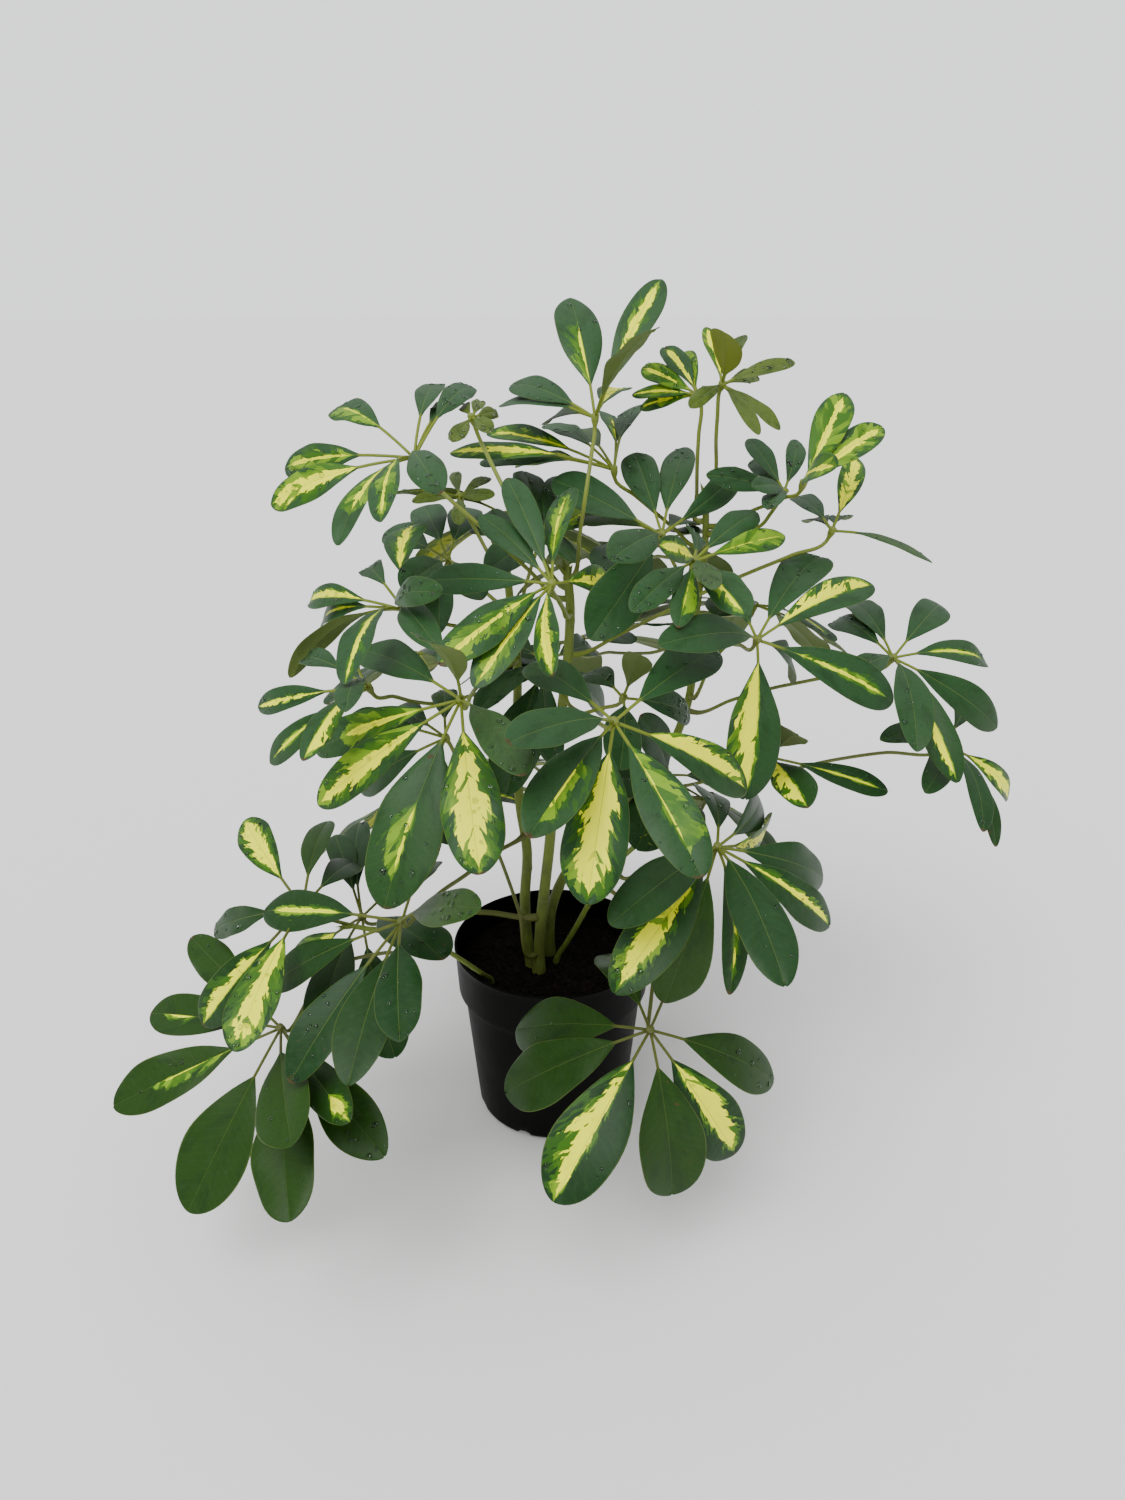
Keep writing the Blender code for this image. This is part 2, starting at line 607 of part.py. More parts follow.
def seen_tips(leaf, hub, face, tip):
    """Choices for a leaflet's tip that is seen in the view, and how far each departs from the usual.

    The tip lies where the line of sight cuts a ball of the leaflet's length round the hub, on its near or far
    side, or at the line's nearest point to the hub if it misses the ball.
    """
    costs, places = [], []
    for right, down in itertools.product(OFF_CHOICES, repeat=2):
        line = sight((tip[0] + right, tip[1] + down))
        reach = (hub - VIEW_EYE) @ line
        miss = np.linalg.norm(hub - VIEW_EYE - reach * line)
        for scale in LENGTH_CHOICES:
            half_chord = math.sqrt(max((leaf.length * scale) ** 2 - miss**2, 0.0))
            for side, sign in ((NEAR, -1), (FAR, 1)):
                if OTHER_SIDE[side] in tip[3:]:
                    continue
                place = VIEW_EYE + line * (reach + sign * half_chord)
                angle = math.degrees(math.acos(unit(place - hub) @ face))
                cost = DROOP_COST * abs(angle - USUAL_DROOP) + LENGTH_COST * abs(scale - 1)
                costs.append(cost + OFF_COST * math.hypot(right, down))
                places.append(place)
    return np.array(costs), np.array(places)


def whorl_tips(leaf, hub, face, number, draw):
    """Choices for a leaflet's tip in a whorl made by rule: even turns about the way it faces, and a droop."""
    across = unit(np.cross(face, (0.6, 0.8, 0.1)))
    turn = 360 * (number + draw.uniform(-RULE_SHIFT, RULE_SHIFT)) / RULE_LEAFLETS
    length = leaf.length * draw.uniform(*RULE_LENGTHS)
    sink = draw.uniform(*RULE_SINK)
    costs, places = [], []
    for extra, droop, scale in itertools.product(TURN_CHOICES, DROOP_CHOICES, LENGTH_CHOICES[:4]):
        outward = turned(across, face, turn + extra)
        side = np.cross(face, outward)
        way = turned(face, side, droop + sink)
        cost = RULE_COST * (abs(extra) + abs(droop - DROOP_CHOICES[0])) + LENGTH_COST * abs(scale - 1)
        costs.append(cost)
        places.append(hub + way * length * scale)
    return np.array(costs), np.array(places)


def ratio_for(leaf, hub, tip):
    """A blade's width over its length: what its width in the view asks for, within what the kind has."""
    if not tip:
        return BLADE_RATIO
    seen_width = tip[2] / WIDTH_READ * ((hub - VIEW_EYE) @ VIEW_AHEAD) / VIEW_FOCAL
    return float(np.clip(seen_width / (leaf.length * (1 - leaf.stalk)), SLIM_RATIO, BROAD_RATIO))


def leaflet_choices(leaf, hub, face, tip, costs, places):
    """Every choice of tip with every roll about the midrib, least unusual first: (tip, upper side, ratio, arch).

    A leaflet seen in the view should look as wide as it does there, and show the side that it shows there.
    """
    span = places - hub
    length = np.linalg.norm(span, axis=1)
    ahead = span / length[:, None]
    flat = face - (ahead @ face)[:, None] * ahead
    flat /= np.linalg.norm(flat, axis=1)[:, None]
    rolls = np.radians(ROLL_CHOICES)[None, :, None]
    side = np.cross(ahead, flat)
    over = np.cos(rolls) * flat[:, None] + np.sin(rolls) * side[:, None]
    total = costs[:, None] + ROLL_COST * np.abs(ROLL_CHOICES)[None]
    ratio = ratio_for(leaf, hub, tip)
    if tip:
        across = np.cross(ahead[:, None], over)
        middle = hub + span * (leaf.stalk + (1 - leaf.stalk) * BLADE_WIDEST)
        half = (length * (1 - leaf.stalk) * ratio / 2)[:, None, None]
        spread = in_view(middle[:, None] + across * half) - in_view(middle[:, None] - across * half)
        along = in_view(places) - in_view(hub)
        along /= np.linalg.norm(along, axis=1)[:, None]
        width = np.abs(spread[..., 0] * along[:, None, 1] - spread[..., 1] * along[:, None, 0])
        total = total + WIDTH_COST * np.abs(width * WIDTH_READ / tip[2] - 1)
        shows_top = np.einsum("nmk,nk->nm", over, VIEW_EYE - middle) > 0
        total = total + SIDE_COST * (shows_top == (UNDER in tip[3:]))
    for place in np.argsort(total, axis=None, kind="stable"):
        row, column = np.unravel_index(place, total.shape)
        yield places[row], over[row, column], ratio, leaf.arch


def place_leaflet(name, leaf, hub, choices, space):
    """The least unusual choice for a leaflet that keeps it clear: its tip, upper side, ratio and arch."""
    stations = YOUNG_STATIONS if leaf.young else BLADE_STATIONS
    own = {(name, "stalk"), (name, "leaflet"), (name, "blade")}
    for leaflet in choices:
        shape = leaflet_shape(hub, leaflet, leaf.stalk, stations, CLEAR_WIDTH, CLEAR_HALF_THICKNESS)
        if shape[0][:, 2].min() < CLEAR_WIDTH or not space.is_free(shape, own):
            continue
        blade = leaflet_shape(hub, leaflet, leaf.stalk, stations, whole=False)
        if space.is_free(blade, {(name, "leaflet")}):
            space.add(name, "leaflet", shape)
            space.add(name, "blade", blade)
            return leaflet
    return None


def place_leaves(space):
    """Each leaf's hub, stalk and leaflets, placed one after the other, the ones seen best first."""
    draw = np.random.default_rng(7)
    stalks = {name: place_stalk(name, leaf, space) for name, leaf in LEAVES.items()}
    placed = {}
    for name, leaf in LEAVES.items():
        hub, face, points = stalks[name]
        leaflets = []
        for number, tip in enumerate(leaf.tips or [()] * RULE_LEAFLETS):
            if tip:
                costs, places = seen_tips(leaf, hub, face, tip)
            else:
                costs, places = whorl_tips(leaf, hub, face, number, draw)
            choices = leaflet_choices(leaf, hub, face, tip, costs, places)
            found = place_leaflet(name, leaf, hub, choices, space)
            if found:
                leaflets.append(found)
        placed[name] = (hub, face, points, leaflets)
    return placed


def material(name, colour, roughness):
    """A plain Principled material."""
    skin = bpy.data.materials.new(name)
    skin.use_nodes = True
    shader = skin.node_tree.nodes["Principled BSDF"]
    shader.inputs["Base Color"].default_value = (*colour, 1.0)
    shader.inputs["Roughness"].default_value = roughness
    shader.inputs["Metallic"].default_value = 0.0
    skin.diffuse_color = (*colour, 1.0)
    return skin


def new_object(name, data, home):
    """An object of this mesh or curve in a collection."""
    thing = bpy.data.objects.new(name, data)
    home.objects.link(thing)
    return thing


def finished(thing, skin):
    """The object with its modifiers applied, as one welded mesh with its own material."""
    name = thing.name
    graph = bpy.context.evaluated_depsgraph_get()
    mesh = bpy.data.meshes.new_from_object(thing.evaluated_get(graph))
    place = thing.matrix_world.copy()
    bpy.data.objects.remove(thing)
    shape = bmesh.new()
    shape.from_mesh(mesh)
    bmesh.ops.remove_doubles(shape, verts=shape.verts, dist=1e-6)
    shape.to_mesh(mesh)
    shape.free()
    mesh.name = name
    mesh.materials.clear()
    mesh.materials.append(skin)
    solid = new_object(name, mesh, parts)
    solid.matrix_world = place
    return solid


def turned_shape(name, outline):
    """A solid turned about Z from an outline of (radius, height) that ends on the axis at both ends."""
    mesh = bpy.data.meshes.new(name)
    corners = [(radius, 0.0, height) for radius, height in outline]
    mesh.from_pydata(corners, [(low, low + 1) for low in range(len(corners) - 1)], [])
    thing = new_object(name, mesh, parts)
    screw = thing.modifiers.new("Turn", "SCREW")
    screw.steps = POT_STEPS
    screw.render_steps = POT_STEPS
    screw.use_merge_vertices = True
    screw.merge_threshold = 0.0001
    return thing


def curve_tube(name, points, radii, resolution, home):
    """A curve object with round filled ends along the points, as thick as the radii say."""
    curve = bpy.data.curves.new(name, "CURVE")
    curve.dimensions = "3D"
    curve.bevel_depth = 1.0
    curve.bevel_resolution = resolution
    curve.use_fill_caps = True
    line = curve.splines.new("POLY")
    line.points.add(len(points) - 1)
    for knot, point, radius in zip(line.points, points, radii):
        knot.co = (*point, 1.0)
        knot.radius = radius
    return new_object(name, curve, home)


def boolean(thing, operation, tools):
    """Adds a cut or a join with every object of a collection."""
    modifier = thing.modifiers.new(operation.title(), "BOOLEAN")
    modifier.operation = operation
    modifier.solver = "EXACT"
    modifier.operand_type = "COLLECTION"
    modifier.collection = tools


def cutter_collection(name):
    """A collection for one piece's cutters."""
    made = bpy.data.collections.new(name)
    cutters.children.link(made)
    return made


def as_cutter(thing):
    """Marks an object as a cutter."""
    thing.hide_render = True
    thing.display_type = "WIRE"


def wall_radius(height):
    """The pot's outer radius under its skirt: a straight taper."""
    top = POT_HEIGHT - SKIRT_HEIGHT
    return FOOT_RADIUS + (WALL_TOP_RADIUS - FOOT_RADIUS) * height / top


def add_pot():
    """The pot: a turned wall with a skirted rim, and slots cut through its foot's edge for draining."""
    step = POT_HEIGHT - SKIRT_HEIGHT
    skirt = WALL_TOP_RADIUS + STEP_WIDTH
    inside = FOOT_RADIUS - WALL
    outline = [
        (0.0, FLOOR),
        (inside - FOOT_CORNER, FLOOR),
        (wall_radius(FLOOR + FOOT_CORNER) - WALL, FLOOR + FOOT_CORNER),
        (wall_radius(step) - WALL, step),
        (skirt - WALL, step + WALL),
        (RIM_RADIUS - LIP, POT_HEIGHT - LIP_DROP),
        (RIM_RADIUS - LIP / 2, POT_HEIGHT),
        (RIM_RADIUS, POT_HEIGHT - LIP_DROP),
        (skirt, step),
        (WALL_TOP_RADIUS, step - WALL),
        (wall_radius(FOOT_CORNER), FOOT_CORNER),
        (FOOT_RADIUS - FOOT_CORNER / 2, FOOT_CORNER / 4),
        (FOOT_RADIUS - FOOT_CORNER, 0.0),
        (0.0, 0.0),
    ]
    pot = turned_shape("pot", outline)
    slots = cutter_collection("drain_slots")
    for number in range(SLOT_COUNT):
        turn = 2 * math.pi * (number + 0.5) / SLOT_COUNT
        shape = bmesh.new()
        bmesh.ops.create_cube(shape, size=1.0)
        bmesh.ops.scale(shape, verts=shape.verts, vec=(SLOT_REACH, SLOT_WIDTH, 2 * SLOT_HEIGHT))
        mesh = bpy.data.meshes.new("drain_slot")
        shape.to_mesh(mesh)
        shape.free()
        slot = new_object(f"drain_slot_{number}", mesh, slots)
        slot.location = (FOOT_RADIUS * math.cos(turn), FOOT_RADIUS * math.sin(turn), 0.0)
        slot.rotation_euler = (0.0, 0.0, turn)
        as_cutter(slot)
    boolean(pot, "DIFFERENCE", slots)
    pot.data.materials.append(material("black_plastic", *SKIN["pot"]))


def add_soil():
    """The soil: it fills the pot, lies lumpy and a little crowned, and has a plain hole for each stem."""
    step = POT_HEIGHT - SKIRT_HEIGHT
    lower = wall_radius(step) - WALL - 2 * GAP
    skirt_inside = WALL_TOP_RADIUS + STEP_WIDTH - WALL - 2 * GAP
    inside = FOOT_RADIUS - WALL - FOOT_CORNER - GAP
    outline = [(0.0, SOIL_TOP + SOIL_CROWN)]
    outline += [(radius, SOIL_TOP + SOIL_CROWN * (1 - radius / RIM_RADIUS)) for radius in reversed(SOIL_RINGS)]
    outline += [
        (skirt_inside + SOIL_EDGE, SOIL_TOP - SOIL_CROWN),
        (skirt_inside, step + 2 * WALL),
        (lower, step),
        (wall_radius(FLOOR + FOOT_CORNER) - WALL - 2 * GAP, FLOOR + FOOT_CORNER + GAP),
        (inside, FLOOR + GAP),
        (0.0, FLOOR + GAP),
    ]
    skin = material("potting_soil", *SKIN["soil"])
    soil = finished(turned_shape("soil", outline), skin)
    for corner in soil.data.vertices:
        x, y, z = corner.co
        if z > SOIL_TOP - SOIL_CROWN + GAP:
            corner.co.z += SOIL_LUMP * math.sin(SOIL_WAVES[0] * x + 2) * math.cos(SOIL_WAVES[1] * y - 1)
    holes = cutter_collection("stem_holes")
    for name, stem in STEMS.items():
        shape = bmesh.new()
        radius = stem.thick + GAP
        bmesh.ops.create_cone(
            shape, cap_ends=True, segments=HOLE_SIDES, radius1=radius, radius2=radius, depth=2 * HOLE_DEPTH
        )
        mesh = bpy.data.meshes.new("stem_hole")
        shape.to_mesh(mesh)
        shape.free()
        hole = new_object(f"{name}_hole", mesh, holes)
        hole.location = (*stem.foot, SOIL_TOP)
        as_cutter(hole)
    boolean(soil, "DIFFERENCE", holes)


def add_stems(space):
    """The stems: tapered tubes that stand in the soil's holes."""
    for name, stem in STEMS.items():
        points = stem_route(stem)
        radii = stem_radii(stem, len(points))
        space.add(name, "stem", tube_shape(points, radii + CLEAR_STALK, 6))
        skin = material(f"{name}_bark", stem.colour, 0.6)
        finished(curve_tube(name, points, radii, 1, parts), skin)


def add_leaf(name, leaf, points, leaflets, hub):
    """A leaf: its stalk with the knob, and its leaflets joined to the knob."""
    stalk = curve_tube(f"{name}_stalk", points, stalk_radii(len(points)), 0, parts)
    skin = material(f"{name}_skin", *SKIN["young" if leaf.young else "leaf"])
    solid = finished(stalk, skin)
    solid.name = name
    loose = bpy.data.collections.new(f"{name}_leaflets")
    parts.children.link(loose)
    stations = YOUNG_STATIONS if leaf.young else BLADE_STATIONS
    for number, leaflet in enumerate(leaflets):
        corners, faces = leaflet_shape(hub, leaflet, leaf.stalk, stations)
        mesh = bpy.data.meshes.new(f"{name}_leaflet_{number}")
        mesh.from_pydata(corners.tolist(), [], faces)
        new_object(mesh.name, mesh, loose)
    boolean(solid, "UNION", loose)
    bpy.context.view_layer.update()
    finished(solid, skin).name = name
    for thing in list(loose.objects):
        bpy.data.objects.remove(thing)
    bpy.data.collections.remove(loose)


def pot_outside():
    """A closed drum round the pot, which leaves keep clear of."""
    points = np.array([(0.0, 0.0, height) for height in (0.0, POT_HEIGHT - SKIRT_HEIGHT, POT_HEIGHT)])
    return tube_shape(points, (FOOT_RADIUS, WALL_TOP_RADIUS, RIM_RADIUS + CLEAR_STALK), 24)


def main():
    for thing in list(bpy.data.objects):
        bpy.data.objects.remove(thing)
    bpy.context.scene.collection.children.link(parts)
    bpy.context.scene.collection.children.link(cutters)
    space = Space()
    add_pot()
    add_soil()
    add_stems(space)
    space.add("pot", "pot", pot_outside())
    for name, (hub, _, points, leaflets) in place_leaves(space).items():
        add_leaf(name, LEAVES[name], points, leaflets, hub)


main()
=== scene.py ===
"""A potted dwarf umbrella tree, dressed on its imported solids.

Everything is in metres, +Z up, with the origin under the middle of the pot. The plant was measured in one
view, so places on it are given as points of that view, (right, down) in a frame 1125 wide and 1500 high.
"""

import itertools
import math
from typing import NamedTuple

import bpy
import numpy as np
from mathutils import Euler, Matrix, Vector
from mathutils.bvhtree import BVHTree


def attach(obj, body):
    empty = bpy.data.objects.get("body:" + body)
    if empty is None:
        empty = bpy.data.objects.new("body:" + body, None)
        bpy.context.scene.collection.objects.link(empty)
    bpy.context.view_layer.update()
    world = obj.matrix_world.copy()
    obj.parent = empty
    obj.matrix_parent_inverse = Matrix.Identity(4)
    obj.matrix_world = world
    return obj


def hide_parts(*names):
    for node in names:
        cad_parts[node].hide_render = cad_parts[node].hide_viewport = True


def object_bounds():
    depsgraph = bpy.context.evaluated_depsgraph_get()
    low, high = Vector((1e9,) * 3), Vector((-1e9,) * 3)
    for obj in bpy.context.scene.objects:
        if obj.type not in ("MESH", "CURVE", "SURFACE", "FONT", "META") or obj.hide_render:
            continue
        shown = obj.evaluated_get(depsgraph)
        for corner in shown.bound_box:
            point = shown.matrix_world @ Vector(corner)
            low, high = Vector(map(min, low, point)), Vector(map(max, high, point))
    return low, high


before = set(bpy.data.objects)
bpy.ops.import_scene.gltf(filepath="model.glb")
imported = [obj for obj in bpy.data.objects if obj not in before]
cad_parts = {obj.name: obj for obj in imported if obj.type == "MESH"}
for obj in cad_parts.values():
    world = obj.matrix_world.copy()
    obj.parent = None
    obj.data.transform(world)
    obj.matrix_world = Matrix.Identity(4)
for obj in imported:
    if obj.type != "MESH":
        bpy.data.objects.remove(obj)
cad_box = [list(corner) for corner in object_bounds()]


# The plant is looked at from the front and a little above, under soft light that falls mostly from above and
# from the left. It stands on a plain pale floor.

VIEW_CENTRE = (562.5, 750.0)
VIEW_SIZE = 1500.0
VIEW_FOCAL = 1083.0
SENSOR_WIDTH = 36.0
VIEW_EYE = np.array((0.0086, -0.799, 0.680))
VIEW_PITCH = math.radians(23.06)
VIEW_RIGHT = np.array((1.0, 0.0, 0.0))
VIEW_AHEAD = np.array((0.0, math.cos(VIEW_PITCH), -math.sin(VIEW_PITCH)))
VIEW_ABOVE = np.array((0.0, math.sin(VIEW_PITCH), math.cos(VIEW_PITCH)))
SKY = (0.97, 0.98, 1.0)
SKY_SEEN = 1.55
SKY_LOW = 0.35
SKY_HIGH = 1.35
SUN_FROM = (-0.40, -0.75, 1.25)
SUN_STRENGTH = 2.6
SUN_SPREAD = math.radians(42)
FLOOR_RADIUS = 30.0
FLOOR_MIDDLE = 0.01
FLOOR_LEVEL = -0.0005
FLOOR_UNDERSIDE = -0.02
FLOOR_SIDES = 64
FLOOR_COLOUR = (0.88, 0.88, 0.87)

camera_lens = bpy.data.cameras.new("view")
camera_lens.sensor_width = SENSOR_WIDTH
camera_lens.lens = SENSOR_WIDTH * VIEW_FOCAL / VIEW_SIZE
camera = bpy.data.objects.new("view", camera_lens)
camera.location = VIEW_EYE
camera.rotation_euler = Euler((math.pi / 2 - VIEW_PITCH, 0.0, 0.0))
bpy.context.scene.collection.objects.link(camera)
bpy.context.scene.camera = camera

daylight = bpy.data.lights.new("soft_daylight", "SUN")
daylight.energy = SUN_STRENGTH
daylight.angle = SUN_SPREAD
sun = bpy.data.objects.new("soft_daylight", daylight)
sun.rotation_euler = Vector(SUN_FROM).to_track_quat("Z", "Y").to_euler()
bpy.context.scene.collection.objects.link(sun)


class Value:
    """A number or colour that varies over a surface. Arithmetic between values adds Math nodes."""

    def __init__(self, nodes, socket):
        self.nodes = nodes
        self.socket = socket

    def math(self, operation, *others):
        """The Math node of that operation on this value and the others."""
        return self.nodes.node("ShaderNodeMath", {"operation": operation}, dict(enumerate((self, *others))))

    def __add__(self, other):
        return self.math("ADD", other)

    __radd__ = __add__

    def __sub__(self, other):
        return self.math("SUBTRACT", other)

    def __rsub__(self, other):
        return self.math("MULTIPLY", -1.0) + other

    def __mul__(self, other):
        return self.math("MULTIPLY", other)

    __rmul__ = __mul__

    def __truediv__(self, other):
        return self.math("DIVIDE", other)

    def __gt__(self, other):
        return self.math("GREATER_THAN", other)

    def __lt__(self, other):
        return self.math("LESS_THAN", other)

    def __abs__(self):
        return self.math("ABSOLUTE")

    def fades(self, low, high):
        """0 below `low`, 1 above `high`, and a smooth S between: 3x^2 - 2x^3."""
        values = {"Value": self, "From Min": low, "From Max": high}
        return self.nodes.node("ShaderNodeMapRange", {"interpolation_type": "SMOOTHSTEP"}, values)


class Nodes:
    """A node tree in the making, of a piece's material or of the sky."""

    def __init__(self, tree):
        self.tree = tree

    def feed(self, socket, value):
        """Links a value to a socket, or sets the socket to a number, vector or colour."""
        if isinstance(value, Value):
            self.tree.links.new(value.socket, socket)
        elif isinstance(value, tuple) and len(value) < len(socket.default_value):
            socket.default_value = (*value, 1.0)
        else:
            socket.default_value = value

    def node(self, kind, settings, values, out=0):
        """Adds a node: sets its settings, feeds its sockets, and gives one of its outputs."""
        made = self.tree.nodes.new(kind)
        for setting, value in settings.items():
            setattr(made, setting, value)
        for socket, value in values.items():
            self.feed(made.inputs[socket], value)
        return Value(self, made.outputs[out])

    def parts(self, vector):
        """A vector's three numbers."""
        made = self.node("ShaderNodeSeparateXYZ", {}, {0: vector})
        return [Value(self, output) for output in made.socket.node.outputs]


class Skin(Nodes):
    """A piece's material in the making: its nodes, and the shader that they feed."""

    def __init__(self, name, **constants):
        self.material = bpy.data.materials.new(name)
        self.material.use_nodes = True
        super().__init__(self.material.node_tree)
        self.shader = self.tree.nodes["Principled BSDF"]
        for socket, value in constants.items():
            self.shader.inputs[socket.replace("_", " ")].default_value = value

    def places(self):
        """The place on the object, in metres."""
        return self.node("ShaderNodeTexCoord", {}, {}, "Object")

    def attribute(self, name):
        """The three numbers of one of the mesh's own attributes."""
        return self.parts(self.node("ShaderNodeAttribute", {"attribute_name": name}, {}, "Vector"))

    def point(self, x, y, z):
        """A vector of three numbers."""
        return self.node("ShaderNodeCombineXYZ", {}, {0: x, 1: y, 2: z})

    def mix(self, share, first, second):
        """A colour between two: (1 - share) first + share second."""
        return self.node("ShaderNodeMix", {"data_type": "RGBA"}, {0: share, 6: first, 7: second}, 2)

    def noise(self, vector, scale, detail=3.0):
        """Soft noise from 0 to 1."""
        return self.node("ShaderNodeTexNoise", {}, {"Vector": vector, "Scale": scale, "Detail": detail})

    def cells(self, vector, scale, output="Color"):
        """Cells as of cracked mud: a random colour for each, or the distance to its middle."""
        return self.node("ShaderNodeTexVoronoi", {}, {"Vector": vector, "Scale": scale}, output)

    def finish(self, colour, roughness, height, strength, depth):
        """Feeds the shader its colour, its roughness, and bumps that are `depth` metres high at height 1."""
        bumps = {"Height": height, "Strength": strength, "Distance": depth}
        self.feed(self.shader.inputs["Base Color"], colour)
        self.feed(self.shader.inputs["Roughness"], roughness)
        self.feed(self.shader.inputs["Normal"], self.node("ShaderNodeBump", {}, bumps))
        return self.material


def ring_faces(rows, sides, first=0):
    """Four-sided faces between `rows` closed rings of `sides` corners each, numbered row by row."""
    corner = first + np.arange(rows * sides).reshape(rows, sides)
    beside = np.roll(corner, -1, axis=1)
    return np.stack([corner[:-1], beside[:-1], beside[1:], corner[1:]], axis=-1).reshape(-1, 4)


def end_faces(rows, sides, first=0):
    """Triangles that close a stack of rings at both ends, on the two corners numbered after the rings."""
    side = np.arange(sides)
    beside = (side + 1) % sides
    start = np.full(sides, first + rows * sides)
    last = first + (rows - 1) * sides
    low = np.stack([start, first + beside, first + side], axis=-1)
    high = np.stack([start + 1, last + side, last + beside], axis=-1)
    return np.concatenate([low, high])


def new_piece(name, corners, faces, skins, kinds=None):
    """A smooth mesh object of these corners and faces. `kinds` gives each face's place in `skins`."""
    mesh = bpy.data.meshes.new(name)
    mesh.from_pydata(corners.tolist(), [], faces)
    for skin in skins:
        mesh.materials.append(skin)
    if kinds is not None:
        mesh.polygons.foreach_set("material_index", kinds)
    mesh.shade_smooth()
    piece = bpy.data.objects.new(name, mesh)
    bpy.context.scene.collection.objects.link(piece)
    return piece


def set_attribute(piece, name, vectors):
    """Gives each corner of a piece three numbers under a name."""
    made = piece.data.attributes.new(name, "FLOAT_VECTOR", "POINT")
    made.data.foreach_set("vector", np.asarray(vectors, np.float32).ravel())


def ring_turns(sides):
    """The turns at which the corners of a ring lie, in radians."""
    return np.arange(sides) * (2 * math.pi / sides)


def turned_rings(outline, sides):
    """Rings of an outline of (radius, height) turned about Z: (radius cos a, radius sin a, height)."""
    turn = ring_turns(sides)
    radius, height = np.asarray(outline, float).T[..., None]
    return np.stack([radius * np.cos(turn), radius * np.sin(turn), height + 0 * turn], axis=-1)


def closed(rings, ends=None, first=0):
    """Corners and faces of a stack of rings, closed by a corner at each end: the one given, or the ring's
    middle."""
    rows, sides = rings.shape[:2]
    ends = rings[[0, -1]].mean(axis=1) if ends is None else ends
    faces = ring_faces(rows, sides, first).tolist() + end_faces(rows, sides, first).tolist()
    return np.concatenate([rings.reshape(-1, 3), ends]), faces


sky = bpy.data.worlds.new("sky")
sky.use_nodes = True
sky_nodes = Nodes(sky.node_tree)
_, _, rise = sky_nodes.parts(sky_nodes.node("ShaderNodeTexCoord", {}, {}, "Generated"))
glow = sky_nodes.node("ShaderNodeMapRange", {}, {"Value": rise, "To Min": SKY_LOW, "To Max": SKY_HIGH})
is_seen = sky_nodes.node("ShaderNodeLightPath", {}, {}, "Is Camera Ray")
strength = sky_nodes.node("ShaderNodeMix", {}, {"Factor": is_seen, "A": glow, "B": SKY_SEEN}, "Result")
sky_light = sky.node_tree.nodes["Background"]
sky_nodes.feed(sky_light.inputs["Color"], SKY)
sky_nodes.feed(sky_light.inputs["Strength"], strength)
bpy.context.scene.world = sky

floor_outline = [(FLOOR_RADIUS, FLOOR_UNDERSIDE), (FLOOR_RADIUS, FLOOR_LEVEL), (FLOOR_MIDDLE, FLOOR_LEVEL)]
floor_shape = closed(turned_rings(floor_outline, FLOOR_SIDES), [(0, 0, FLOOR_UNDERSIDE), (0, 0, FLOOR_LEVEL)])
floor_skin = Skin("pale_floor", Roughness=0.9, Specular_IOR_Level=0.0, Base_Color=(*FLOOR_COLOUR, 1.0))
floor_piece = new_piece("floor", *floor_shape, [floor_skin.material])
floor_piece.data.shade_flat()


# A nursery pot of thin black plastic, moulded in one piece: a tapered wall, a wider skirt under a rolled
# rim, and a foot with drain slots cut up into its edge. Its skin is satin, a little dusty lower down.

POT_HEIGHT = 0.162
RIM_RADIUS = 0.085
SKIRT_HEIGHT = 0.041
STEP_WIDTH = 0.0045
WALL_TOP_RADIUS = 0.0777
FOOT_RADIUS = 0.0665
FOOT_CORNER = 0.006
WALL = 0.0018
POT_FLOOR = 0.004
POT_SIDES = 192
SLOT_COUNT = 8
SLOT_WIDTH = 0.013
SLOT_HEIGHT = 0.0065
SHOULDER = 0.005
LIP = 0.0012
BEAD = 0.0009
ROLL = 0.004
POT_MIDDLE = 0.006
SLOT_ROUNDING = 4
PLASTIC = (0.0018, 0.0018, 0.0015)
PLASTIC_DUST = (0.0045, 0.0042, 0.0034)


def wall_radius(height):
    """The pot's outer radius under its skirt: a straight taper."""
    return FOOT_RADIUS + (WALL_TOP_RADIUS - FOOT_RADIUS) * height / (POT_HEIGHT - SKIRT_HEIGHT)


def arc(middle, radius, start, end, count):
    """Points of an arc: (x + r cos a, y + r sin a), with the angle a in degrees."""
    turn = np.radians(np.linspace(start, end, count))
    return np.stack([middle[0] + radius * np.cos(turn), middle[1] + radius * np.sin(turn)], axis=-1)


def outline_points(radius, height):
    """Points of an outline from their radii and heights, of which one may be the same for all."""
    return np.stack(np.broadcast_arrays(radius, height), axis=-1)


